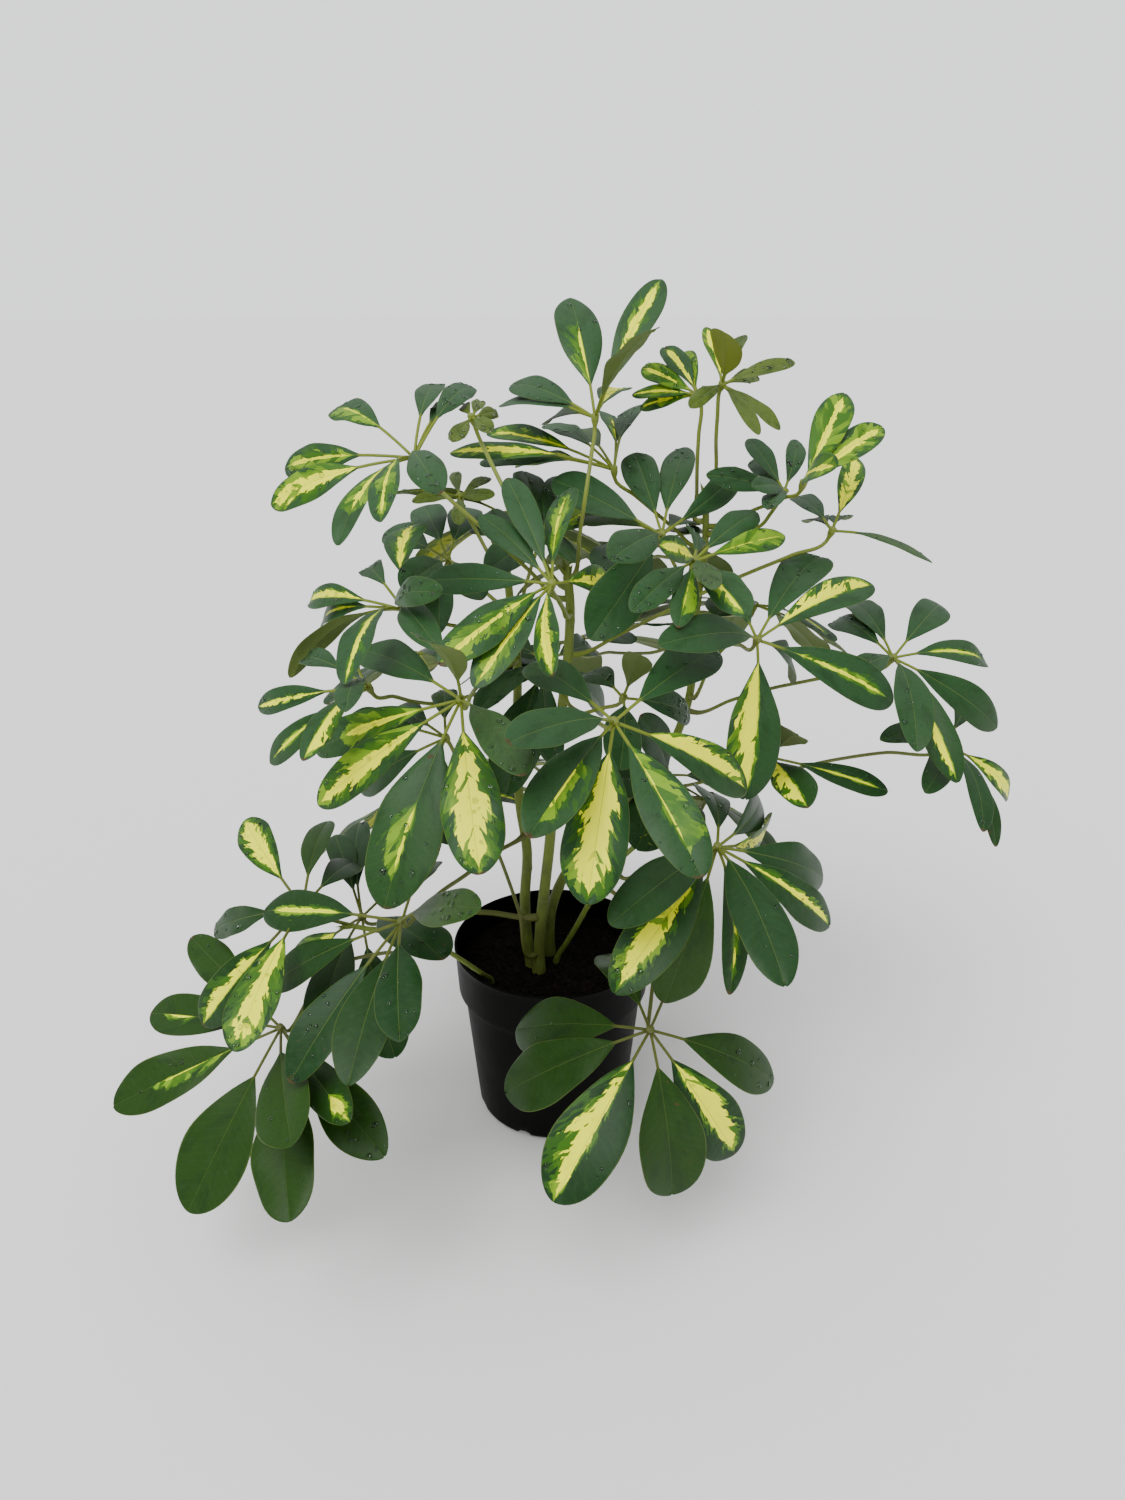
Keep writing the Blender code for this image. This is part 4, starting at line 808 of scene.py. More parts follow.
LEAVES = {
    "leaf_front_gold": Leaf(
        (614, 722), -0.17, "stem_main", 0.400, 0.125, 0.20,
        [(587, 905, 62), (747, 790, 46), (702, 878, 52), (507, 743, 38), (528, 665, 42), (528, 838, 50),
         (716, 650, 50)],
        faces=(0.0, -0.70, 0.70),
    ),
    "leaf_left_gold": Leaf(
        (461, 700), -0.15, "stem_left", 0.412, 0.125, 0.22,
        [(480, 875, 58), (316, 750, 40), (318, 805, 42), (384, 909, 60), (362, 650, 44), (523, 776, 36),
         (420, 640, 24, UNDER)],
        route=((498, 672),), faces=(-0.10, -0.60, 0.80),
    ),
    "leaf_centre_high": Leaf(
        (552, 584), -0.10, "stem_main", 0.466, 0.102, 0.17,
        [(425, 581, 32), (438, 665, 39), (474, 688, 36), (553, 676, 22), (507, 487, 30), (480, 524, 28),
         (614, 585, 34), (580, 488, 24)],
        faces=(0.0, -0.70, 0.70),
    ),
    "leaf_bottom_right": Leaf(
        (650, 1030), -0.17, "shoot_right", 0.246, 0.130, 0.20,
        [(553, 1202, 62), (672, 1195, 65), (735, 1154, 56), (505, 1093, 58), (516, 1030, 57), (774, 1080, 50),
         (605, 955, 40), (693, 925, 40)],
        route=((652, 925), (652, 985)), faces=(0.10, -0.60, 0.80), arch=0.09,
    ),
    "leaf_right_low": Leaf(
        (717, 847), -0.15, "shoot_right", 0.262, 0.125, 0.17,
        [(614, 994, 52), (664, 1003, 54, FAR), (729, 995, 24), (786, 987, 48), (830, 926, 34), (823, 878, 44),
         (610, 925, 45), (755, 790, 26), (700, 790, 26), (765, 818, 20)],
        faces=(0.10, -0.60, 0.80), arch=0.10,
    ),
    "leaf_left_low": Leaf(
        (402, 922), -0.165, "stem_left", 0.262, 0.125, 0.30,
        [(290, 1083, 44), (348, 1086, 46), (270, 985, 38), (264, 911, 44), (400, 1042, 44), (481, 908, 36),
         (434, 862, 24)],
        route=((500, 850), (473, 870), (437, 895)), faces=(-0.10, -0.60, 0.80),
    ),
    "leaf_left_high": Leaf(
        (414, 458), -0.02, "stem_main", 0.476, 0.116, 0.33,
        [(271, 505, 36), (285, 468, 34), (335, 409, 34), (338, 546, 21), (381, 522, 20),
         (441, 494, 30, NEAR), (438, 384, 27, FAR), (471, 386, 28, FAR), (463, 405, 22, FAR)],
        route=((485, 530), (440, 490)), faces=(-0.30, -0.45, 0.85), arch=0.12,
    ),
    "leaf_top_centre": Leaf(
        (595, 418), 0.0, "stem_main", 0.490, 0.116, 0.22,
        [(661, 279, 31, FAR), (570, 298, 44, FAR), (657, 328, 17, NEAR, UNDER), (512, 384, 27),
         (501, 405, 19), (549, 423, 14), (623, 391, 20)],
        route=((589, 472),), faces=(0.0, -0.15, 0.98),
    ),
    "leaf_right_mid": Leaf(
        (757, 640), -0.06, "stem_right", 0.372, 0.120, 0.15,
        [(893, 702, 42), (745, 800, 54, FAR), (873, 585, 36), (821, 557, 42), (658, 645, 34), (715, 590, 28),
         (788, 677, 17)],
        route=((716, 656),), faces=(0.20, -0.50, 0.85), arch=0.10,
    ),
    "leaf_right_edge": Leaf(
        (893, 658), 0.02, "stem_right", 0.359, 0.115, 0.17,
        [(997, 728, 34), (958, 783, 31), (986, 663, 25), (940, 605, 34), (917, 752, 33), (833, 622, 29),
         (850, 605, 30), (847, 688, 22)],
        route=((765, 690), (838, 675)), faces=(0.30, -0.30, 0.85), arch=0.12,
    ),
    "leaf_bottom_left": Leaf(
        (281, 1028), -0.15, "shoot_low_left", 0.222, 0.142, 0.27,
        [(188, 1212, 68), (290, 1222, 58), (113, 1106, 48), (385, 1157, 52), (292, 1146, 56), (350, 1122, 38),
         (151, 1013, 44), (191, 937, 38)],
        route=((340, 965),), faces=(-0.30, -0.50, 0.80), arch=0.03,
    ),
    "leaf_left_outer": Leaf(
        (303, 908), -0.12, "shoot_low_left", 0.236, 0.122, 0.27,
        [(235, 1052, 46), (203, 1025, 40), (245, 820, 36), (328, 821, 27), (214, 930, 30), (355, 862, 26)],
        faces=(-0.35, -0.45, 0.80),
    ),
    "leaf_left_inner": Leaf(
        (362, 917), -0.06, "stem_main", 0.193, 0.122, 0.25,
        [(395, 1058, 50), (443, 960, 44), (434, 862, 26), (350, 805, 30), (335, 835, 28), (318, 1035, 42),
         (290, 975, 32)],
        route=((480, 912),), faces=(-0.25, -0.35, 0.85),
    ),
    "leaf_left_back": Leaf(
        (446, 738), -0.08, "stem_main", 0.158, 0.105, 0.25,
        [(425, 835, 40), (360, 790, 34), (345, 720, 30), (445, 690, 24), (395, 700, 28)],
        route=((517, 905), (499, 855)),
    ),
    "leaf_far_left": Leaf(
        (369, 688), -0.09, "stem_left", 0.395, 0.102, 0.30,
        [(270, 763, 27), (258, 707, 24), (303, 761, 23), (303, 660, 24), (346, 712, 16), (375, 655, 10)],
        route=((448, 702), (385, 695)), faces=(-0.30, -0.45, 0.85), arch=0.12,
    ),
    "leaf_left_mid": Leaf(
        (404, 610), -0.04, "stem_left", 0.436, 0.108, 0.28,
        [(290, 678, 24, UNDER), (345, 685, 25), (310, 602, 24), (323, 622, 22), (415, 525, 42),
         (370, 570, 24), (443, 592, 26), (440, 650, 28)],
        arch=0.15,
    ),
    "leaf_left_rear": Leaf(
        (448, 560), 0.05, "stem_left", 0.455, 0.100, 0.25,
        [(385, 532, 34), (424, 506, 36), (470, 508, 32), (402, 590, 34), (482, 600, 30), (440, 634, 28)],
    ),
    "leaf_centre_right": Leaf(
        (662, 535), -0.01, "stem_right", 0.452, 0.112, 0.20,
        [(590, 640, 48), (553, 480, 36), (625, 462, 36), (704, 447, 31), (742, 470, 28), (580, 517, 24),
         (610, 560, 34), (690, 525, 20)],
    ),
    "leaf_centre_right_front": Leaf(
        (693, 562), -0.06, "stem_right", 0.470, 0.085, 0.20,
        [(747, 617, 34), (678, 628, 25), (785, 536, 25), (757, 512, 30), (632, 612, 30), (712, 590, 20),
         (658, 545, 24), (690, 520, 16)],
        faces=(0.10, -0.55, 0.80),
    ),
    "leaf_centre_back": Leaf(
        (614, 470), 0.04, "stem_right", 0.494, 0.126, 0.33,
        [(450, 453, 20), (487, 433, 20), (480, 462, 17), (517, 465, 15), (607, 413, 19), (640, 405, 20),
         (575, 430, 20), (545, 425, 18)],
        route=((650, 508),), faces=(-0.10, -0.20, 0.95),
    ),
    "leaf_front_dark": Leaf(
        (623, 698), -0.07, "stem_main", 0.384, 0.090, 0.20,
        [(690, 715, 34), (620, 770, 36), (590, 672, 30), (640, 655, 28, UNDER)],
    ),
    "leaf_middle": Leaf(
        (546, 662), 0.03, "stem_main", 0.420, 0.112, 0.20,
        [(478, 712, 34), (507, 795, 46), (604, 712, 32), (500, 640, 30), (592, 648, 30), (560, 765, 34)],
    ),
    "leaf_top_middle": Leaf(
        (538, 543), 0.045, "stem_left", 0.447, 0.098, 0.20,
        [(524, 471, 34), (563, 477, 32), (473, 523, 32), (487, 572, 32), (600, 505, 28), (548, 500, 24)],
    ),
    "leaf_middle_low": Leaf(
        (668, 775), 0.02, "stem_right", 0.302, 0.108, 0.20,
        [(636, 850, 44), (590, 790, 36), (735, 800, 30), (640, 715, 30), (690, 850, 34)],
    ),
    "leaf_right_stub": Leaf(
        (768, 757), -0.02, "stem_right", 0.330, 0.100, 0.25,
        [(888, 792, 22), (808, 808, 34), (797, 735, 28, UNDER), (760, 700, 26)],
    ),
    "leaf_far_right": Leaf(
        (945, 745), 0.03, "stem_right", 0.300, 0.105, 0.20,
        [(1008, 798, 22), (996, 847, 15), (983, 832, 18), (925, 793, 26), (880, 740, 20), (960, 700, 24)],
        route=((765, 775), (860, 755)), arch=0.13,
    ),
    "leaf_right_top_back": Leaf(
        (832, 531), 0.03, "stem_main", 0.432, 0.095, 0.20,
        [(932, 562, 10), (857, 458, 25), (795, 497, 18), (845, 520, 12), (808, 523, 12)],
        route=((665, 612), (705, 592), (808, 548)), faces=(0.30, -0.20, 0.90),
    ),
    "leaf_right_high": Leaf(
        (803, 484), 0.0, "stem_right", 0.504, 0.088, 0.12,
        [(845, 393, 34), (883, 427, 31), (838, 466, 28, NEAR)],
        route=((762, 525), (780, 500)), faces=(0.20, -0.30, 0.90), young=True,
    ),
    "leaf_right_young": Leaf(
        (784, 492), 0.04, "stem_right", 0.510, 0.070, 0.15,
        [(706, 475, 22), (748, 439, 20), (752, 460, 18), (797, 440, 20), (752, 487, 14), (768, 510, 14)],
        young=True,
    ),
    "leaf_top_young": Leaf(
        (698, 395), 0.05, "stem_right", 0.514, 0.056, 0.15,
        [(632, 395, 14), (642, 368, 20), (664, 347, 22), (640, 408, 14), (684, 352, 20)],
        route=((697, 470),), young=True,
    ),
    "leaf_top_tip": Leaf(
        (722, 385), 0.035, "stem_right", 0.524, 0.056, 0.15,
        [(795, 362, 14), (724, 332, 30, NEAR, UNDER), (706, 327, 18), (745, 335, 12), (759, 435, 14),
         (780, 430, 13), (758, 376, 16), (690, 408, 14)],
        route=((716, 480), (716, 440)), young=True,
    ),
    "leaf_left_bud": Leaf(
        (472, 418), 0.02, "stem_main", 0.484, 0.034, 0.20,
        [(452, 442, 16), (455, 405, 12), (481, 401, 13), (497, 412, 14), (492, 432, 15)],
        route=((503, 487),), young=True,
    ),
    "leaf_left_young": Leaf(
        (460, 497), 0.055, "stem_left", 0.475, 0.045, 0.15,
        [(412, 502, 10), (455, 472, 12), (490, 478, 10), (495, 495, 12), (460, 525, 14)],
        young=True,
    ),
    "leaf_back_left_top": Leaf((505, 515), 0.13, "stem_left", 0.462, 0.115, 0.22, []),
    "leaf_back_top": Leaf((640, 545), 0.14, "stem_right", 0.484, 0.120, 0.22, []),
    "leaf_back_right": Leaf((755, 605), 0.13, "stem_right", 0.440, 0.120, 0.22, []),
    "leaf_back_left": Leaf((415, 655), 0.12, "stem_left", 0.424, 0.120, 0.22, []),
    "leaf_back_middle": Leaf((575, 640), 0.19, "stem_right", 0.410, 0.125, 0.22, []),
    "leaf_back_low_left": Leaf((425, 790), 0.12, "stem_left", 0.300, 0.120, 0.22, []),
    "leaf_back_low": Leaf((590, 770), 0.17, "stem_left", 0.320, 0.120, 0.22, []),
    "leaf_back_low_right": Leaf((705, 800), 0.12, "stem_right", 0.265, 0.120, 0.22, []),
}


def facing(leaf, hub, foot):
    """The direction a leaf faces: as given, or up, outwards and, in front, a little towards the light."""
    if leaf.faces:
        return unit(np.array(leaf.faces))
    outward = unit((hub - foot) * (1, 1, 0))
    light = FACE_LIGHT if leaf.depth < BEHIND else 0.0
    return unit(np.array((0.0, -light, FACE_UP)) + FACE_OUT * outward)


def tube_shape(points, radii, sides=4):
    """Corners and faces of a closed tube round a line of points, for testing what is in its way."""
    corners = tube_rings(points, np.asarray(radii)[:, None], sides).reshape(-1, 3)
    ends = [list(range(sides)), list(range(len(corners) - sides, len(corners)))]
    return corners, ring_faces(len(points), sides).tolist() + ends


def blade_width(share):
    """A blade's half-width along it, as a share of the widest: t^RISE (1 - t)^FALL, over its peak."""
    share = np.maximum(share, LEAST_SHARE)
    return share**BLADE_RISE * (1 - share) ** BLADE_FALL / BLADE_PEAK


def leaflet_lie(hub, leaflet):
    """How a leaflet lies: its length, and the directions along it, across it and out of its upper side."""
    tip, top = leaflet[:2]
    length = np.linalg.norm(tip - hub)
    ahead = (tip - hub) / length
    over = unit(top - (top @ ahead) * ahead)
    return length, ahead, np.cross(ahead, over), over


def midrib(hub, length, ahead, over, arch, along):
    """Points of an arched midrib at shares t of its length, and the direction square to it at each.

    The points are hub + t length ahead + 4 arch length t (1 - t) over.
    """
    rise = 4 * arch * length * along * (1 - along)
    slope = 4 * arch * (1 - 2 * along)
    lift = over - slope[..., None] * ahead
    lift /= np.linalg.norm(lift, axis=-1, keepdims=True)
    return hub + along[..., None] * length * ahead + rise[..., None] * over, lift


def leaflet_shape(hub, leaflet, stalk, stations, extra=0.0, half_thickness=HALF_THICKNESS, whole=True):
    """Corners and faces of a leaflet: four-sided rings along its midrib, from root to tip.

    A ring has its two edges, lifted by the fold, and the midrib's upper and lower line. With whole=False it
    is the blade alone.
    """
    tip, _, ratio, arch = leaflet
    length, ahead, across, over = leaflet_lie(hub, leaflet)
    shares = np.array(stations)
    along = stalk + (1 - stalk) * shares
    half = (1 - stalk) * length * ratio / 2 * blade_width(shares)
    half = np.maximum(half, LEAFLET_STALK_HALF) + extra
    if whole:
        along = np.concatenate([[LEAFLET_ROOT / length], along])
        half = np.concatenate([[LEAFLET_STALK_HALF + extra], half])
    middle, lift = midrib(hub, length, ahead, over, arch, along)
    fold = FOLD * half[:, None] * lift
    edge = half[:, None] * across
    ridge = half_thickness * lift
    rings = np.stack([middle - edge + fold, middle + ridge, middle + edge + fold, middle - ridge], axis=1)
    corners = np.vstack([rings.reshape(-1, 3), tip])
    sides = ring_faces(len(rings), 4)[:, [0, 3, 2, 0, 2, 1]].reshape(-1, 3)
    last = len(corners) - 5
    ends = [(last + side, len(corners) - 1, last + (side + 1) % 4) for side in range(4)]
    return corners, [(0, 1, 2), (0, 2, 3)] + sides.tolist() + ends


class Space:
    """What already stands somewhere, so that what comes later can keep clear of it."""

    def __init__(self):
        self.held = []

    def add(self, owner, kind, shape):
        """Takes a shape's place."""
        corners, faces = shape
        tree = BVHTree.FromPolygons(corners.tolist(), faces)
        self.held.append((owner, kind, corners.min(axis=0), corners.max(axis=0), tree))

    def is_free(self, shape, ignore):
        """Whether a shape touches nothing, apart from what `ignore` names as (owner, kind)."""
        corners, faces = shape
        low, high = corners.min(axis=0), corners.max(axis=0)
        tree = None
        for owner, kind, other_low, other_high, other in self.held:
            if (owner, kind) in ignore or (low > other_high).any() or (high < other_low).any():
                continue
            if tree is None:
                tree = BVHTree.FromPolygons(corners.tolist(), faces)
            if tree.overlap(other):
                return False
        return True


def turned(vector, axis, degrees):
    """The vector turned about a unit axis."""
    angle = math.radians(degrees)
    along = (axis @ vector) * axis
    return along + math.cos(angle) * (vector - along) + math.sin(angle) * np.cross(axis, vector)


def stalk_points(leaf, bend, lift):
    """A leaf's hub, the direction it faces and its stalk's points, bowed sideways and upwards between."""
    hub = seen(leaf.hub, leaf.depth)
    middle, ahead, radius = stem_at(STEMS[leaf.stem], leaf.height)
    face = facing(leaf, hub, middle)
    towards = hub - middle
    towards = unit(towards - (towards @ ahead) * ahead)
    foot = middle + towards * (radius + GAP)
    points = [foot, foot + towards * STALK_LEAVES_STEM]
    spans = [np.linalg.norm(np.subtract(point, leaf.hub)) for point in leaf.route]
    for point, span in zip(leaf.route, spans):
        share = ROUTE_PULL * span / spans[0]
        points.append(seen(point, leaf.depth + share * (foot[1] - leaf.depth)))
    if not leaf.route:
        points.append((foot + hub) / 2 - (0.0, 0.0, STALK_SAG * np.linalg.norm(hub - foot)))
    neck = hub - face * (KNOB_BELOW + KNOB_NECK)
    side = unit(np.cross(neck - foot, (0.0, 0.0, 1.0)))
    for place in range(2, len(points)):
        points[place] = points[place] + side * bend + (0.0, 0.0, lift)
    points.append(neck)
    route = smooth_route(points[1:], STALK_RINGS - 1 + len(leaf.route))
    return hub, face, np.vstack([foot, route, hub - face * KNOB_BELOW, hub + face * KNOB_ABOVE])


def stalk_radii(count):
    """A leaf stalk's radii: thick where it clasps the stem, slim, then a knob that carries the leaflets."""
    radii = np.full(count, STALK_RADIUS)
    radii[0] = STALK_FOOT_RADIUS
    radii[-2:] = KNOB_RADIUS
    return radii


def place_stalk(name, leaf, space):
    """The hub, facing and stalk of a leaf, with the least bend that keeps its stalk clear."""
    bends = sorted(itertools.product(BEND_CHOICES, repeat=2), key=lambda pair: abs(pair[0]) + abs(pair[1]))
    for bend, lift in bends:
        hub, face, points = stalk_points(leaf, bend, lift)
        radii = stalk_radii(len(points)) + CLEAR_STALK
        if space.is_free(tube_shape(points[1:], radii[1:]), set()):
            break
    else:
        hub, face, points = stalk_points(leaf, 0.0, 0.0)
    space.add(name, "stalk", tube_shape(points, stalk_radii(len(points)) + CLEAR_STALK))
    return hub, face, points


def in_view(places):
    """The points of the view, (right, down), at which places are seen."""
    away = places - VIEW_EYE
    scale = VIEW_FOCAL / (away @ VIEW_AHEAD)
    right = VIEW_CENTRE[0] + scale * (away @ VIEW_RIGHT)
    down = VIEW_CENTRE[1] - scale * (away @ VIEW_ABOVE)
    return np.stack([right, down], axis=-1)


def seen_tips(leaf, hub, face, tip):
    """Choices for a leaflet's tip that is seen in the view, and how far each departs from the usual.

    The tip lies where the line of sight cuts a ball of the leaflet's length round the hub, on its near or far
    side, or at the line's nearest point to the hub if it misses the ball.
    """
    costs, places = [], []
    for right, down in itertools.product(OFF_CHOICES, repeat=2):
        line = sight((tip[0] + right, tip[1] + down))
        reach = (hub - VIEW_EYE) @ line
        miss = np.linalg.norm(hub - VIEW_EYE - reach * line)
        for scale in LENGTH_CHOICES:
            half_chord = math.sqrt(max((leaf.length * scale) ** 2 - miss**2, 0.0))
            for side, sign in ((NEAR, -1), (FAR, 1)):
                if OTHER_SIDE[side] in tip[3:]:
                    continue
                place = VIEW_EYE + line * (reach + sign * half_chord)
                angle = math.degrees(math.acos(unit(place - hub) @ face))
                cost = DROOP_COST * abs(angle - USUAL_DROOP) + LENGTH_COST * abs(scale - 1)
                costs.append(cost + OFF_COST * math.hypot(right, down))
                places.append(place)
    return np.array(costs), np.array(places)


def whorl_tips(leaf, hub, face, number, draw):
    """Choices for a leaflet's tip in a whorl made by rule: even turns about the way it faces, and a droop."""
    across = unit(np.cross(face, RULE_ASIDE))
    turn = 360 * (number + draw.uniform(-RULE_SHIFT, RULE_SHIFT)) / RULE_LEAFLETS
    length = leaf.length * draw.uniform(*RULE_LENGTHS)
    sink = draw.uniform(*RULE_SINK)
    costs, places = [], []
    for extra, droop, scale in itertools.product(TURN_CHOICES, DROOP_CHOICES, LENGTH_CHOICES[:4]):
        outward = turned(across, face, turn + extra)
        side = np.cross(face, outward)
        way = turned(face, side, droop + sink)
        cost = RULE_COST * (abs(extra) + abs(droop - DROOP_CHOICES[0])) + LENGTH_COST * abs(scale - 1)
        costs.append(cost)
        places.append(hub + way * length * scale)
    return np.array(costs), np.array(places)


def ratio_for(leaf, hub, tip):
    """A blade's width over its length: what its width in the view asks for, within what the kind has."""
    if not tip:
        return BLADE_RATIO
    seen_width = tip[2] / WIDTH_READ * ((hub - VIEW_EYE) @ VIEW_AHEAD) / VIEW_FOCAL
    return float(np.clip(seen_width / (leaf.length * (1 - leaf.stalk)), SLIM_RATIO, BROAD_RATIO))


def leaflet_choices(leaf, hub, face, tip, costs, places):
    """Every choice of tip with every roll about the midrib, least unusual first.

    Each is a leaflet: (tip, upper side, ratio, arch). One that is seen in the view should look as wide as it
    does there, and show the side that it shows there.
    """
    span = places - hub
    length = np.linalg.norm(span, axis=1)
    ahead = span / length[:, None]
    flat = face - (ahead @ face)[:, None] * ahead
    flat /= np.linalg.norm(flat, axis=1)[:, None]
    rolls = np.radians(ROLL_CHOICES)[None, :, None]
    side = np.cross(ahead, flat)
    over = np.cos(rolls) * flat[:, None] + np.sin(rolls) * side[:, None]
    total = costs[:, None] + ROLL_COST * np.abs(ROLL_CHOICES)[None]
    ratio = ratio_for(leaf, hub, tip)
    if tip:
        across = np.cross(ahead[:, None], over)
        middle = hub + span * (leaf.stalk + (1 - leaf.stalk) * BLADE_WIDEST)
        half = (length * (1 - leaf.stalk) * ratio / 2)[:, None, None]
        spread = in_view(middle[:, None] + across * half) - in_view(middle[:, None] - across * half)
        along = in_view(places) - in_view(hub)
        along /= np.linalg.norm(along, axis=1)[:, None]
        width = np.abs(spread[..., 0] * along[:, None, 1] - spread[..., 1] * along[:, None, 0])
        total = total + WIDTH_COST * np.abs(width * WIDTH_READ / tip[2] - 1)
        shows_top = np.einsum("nmk,nk->nm", over, VIEW_EYE - middle) > 0
        total = total + SIDE_COST * (shows_top == (UNDER in tip[3:]))
    for place in np.argsort(total, axis=None, kind="stable"):
        row, column = np.unravel_index(place, total.shape)
        yield places[row], over[row, column], ratio, leaf.arch


def place_leaflet(name, leaf, hub, choices, space):
    """The least unusual choice for a leaflet that keeps it clear: its tip, upper side, ratio and arch."""
    stations = YOUNG_STATIONS if leaf.young else BLADE_STATIONS
    own = {(name, "stalk"), (name, "leaflet"), (name, "blade")}
    for leaflet in choices:
        shape = leaflet_shape(hub, leaflet, leaf.stalk, stations, CLEAR_WIDTH, CLEAR_HALF_THICKNESS)
        if shape[0][:, 2].min() < CLEAR_WIDTH or not space.is_free(shape, own):
            continue
        blade = leaflet_shape(hub, leaflet, leaf.stalk, stations, whole=False)
        if space.is_free(blade, {(name, "leaflet")}):
            space.add(name, "leaflet", shape)
            space.add(name, "blade", blade)
            return leaflet
    return None


def place_leaves(space):
    """Each leaf's hub, stalk and leaflets, placed one after the other, the ones seen best first."""
    draw = np.random.default_rng(RULE_SEED)
    stalks = {name: place_stalk(name, leaf, space) for name, leaf in LEAVES.items()}
    placed = {}
    for name, leaf in LEAVES.items():
        hub, face, points = stalks[name]
        leaflets = []
        for number, tip in enumerate(leaf.tips or [()] * RULE_LEAFLETS):
            if tip:
                costs, places = seen_tips(leaf, hub, face, tip)
            else:
                costs, places = whorl_tips(leaf, hub, face, number, draw)
            choices = leaflet_choices(leaf, hub, face, tip, costs, places)
            found = place_leaflet(name, leaf, hub, choices, space)
            if found:
                leaflets.append(found)
        placed[name] = (hub, face, points, leaflets)
    return placed


def pot_outside():
    """A closed drum round the pot, which leaves keep clear of."""
    points = np.array([(0.0, 0.0, height) for height in (0.0, POT_HEIGHT - SKIRT_HEIGHT, POT_HEIGHT)])
    return tube_shape(points, (FOOT_RADIUS, WALL_TOP_RADIUS, RIM_RADIUS + CLEAR_STALK), CLEAR_POT_SIDES)


space = Space()
for name, stem in STEMS.items():
    points = stem_route(stem)
    radii = stem_radii(stem, len(points)) + CLEAR_STALK
    space.add(name, "stem", tube_shape(points, radii, CLEAR_STEM_SIDES))
space.add("pot", "pot", pot_outside())
placed_leaves = place_leaves(space)


# The leaves as they are seen. A blade is thin and leathery, a little wavy, and yellow along its midrib: the
# yellow runs out along the side veins in jagged tongues, with a lime zone round it and dark green outside,
# and each leaflet has its own share of it on the left and on the right.


class Look(NamedTuple):
    """How a leaflet is coloured: how far the yellow and then the lime reach left and right of the midrib, as
    shares of the half blade, where they start and end along it, and the green's tone from dark to olive."""

    left: float
    right: float
    start: float
    end: float
    lime_left: float
    lime_right: float
    tone: float


# Plain green leaflets are d, g, h and o, from dark to olive, and the others are splashed. A leaf's letters
# are its leaflets' looks, in the order of its tips. A leaf that isn't named has drawn ones, of BACK_LOOKS.
LOOKS = {
    "d": Look(0.00, 0.00, 0.0, 1.0, 0.00, 0.00, 0.10),
    "g": Look(0.00, 0.00, 0.0, 1.0, 0.00, 0.00, 0.45),
    "o": Look(0.00, 0.00, 0.0, 1.0, 0.00, 0.00, 0.85),
    "h": Look(0.00, 0.00, 0.0, 1.0, 0.00, 0.00, 0.62),
    "V": Look(0.45, 0.45, 0.0, 0.96, 0.68, 0.68, 0.15),
    "s": Look(0.10, 0.09, 0.12, 0.86, 0.20, 0.18, 0.12),
    "l": Look(0.08, 0.08, 0.10, 0.85, 0.45, 0.45, 0.25),
    "L": Look(0.62, 0.05, 0.0, 0.95, 0.78, 0.12, 0.12),
    "R": Look(0.05, 0.62, 0.0, 0.95, 0.12, 0.78, 0.12),
    "Y": Look(0.50, 0.42, 0.0, 0.97, 0.80, 0.80, 0.35),
    "t": Look(0.30, 0.30, 0.72, 0.98, 0.45, 0.45, 0.20),
    "j": Look(0.06, 0.03, 0.0, 0.80, 0.75, 0.10, 0.20),
    "k": Look(0.10, 0.00, 0.35, 0.85, 0.48, 0.00, 0.15),
    "m": Look(0.10, 0.12, 0.10, 0.92, 0.40, 0.45, 0.15),
    "n": Look(0.18, 0.15, 0.0, 0.92, 0.62, 0.55, 0.15),
    "p": Look(0.22, 0.40, 0.0, 0.97, 0.35, 0.60, 0.15),
    "q": Look(0.25, 0.08, 0.0, 0.97, 0.35, 0.15, 0.12),
    "r": Look(0.20, 0.00, 0.0, 0.60, 0.55, 0.05, 0.20),
    "A": Look(0.40, 0.26, 0.0, 0.97, 0.50, 0.85, 0.20),
    "B": Look(0.14, 0.10, 0.0, 0.95, 0.52, 0.46, 0.15),
    "C": Look(0.34, 0.30, 0.0, 0.97, 0.62, 0.55, 0.25),
    "D": Look(0.08, 0.46, 0.0, 0.97, 0.12, 0.54, 0.12),
    "E": Look(0.44, 0.14, 0.0, 0.92, 0.56, 0.24, 0.12),
    "c": Look(0.06, 0.00, 0.0, 0.62, 0.34, 0.04, 0.45),
    "F": Look(0.02, 0.22, 0.0, 0.95, 0.06, 0.50, 0.15),
    "G": Look(0.26, 0.24, 0.0, 0.93, 0.36, 0.34, 0.15),
    "H": Look(0.04, 0.38, 0.10, 0.96, 0.09, 0.45, 0.12),
    "X": Look(0.16, 0.25, 0.0, 0.97, 0.80, 0.88, 0.30),
    "b": Look(0.05, 0.03, 0.0, 0.97, 0.85, 0.60, 0.60),
    "u": Look(0.10, 0.00, 0.50, 0.80, 0.20, 0.00, 0.45),
    "v": Look(0.22, 0.20, 0.0, 0.66, 0.80, 0.75, 0.20),
    "w": Look(0.04, 0.07, 0.42, 0.80, 0.08, 0.34, 0.20),
}

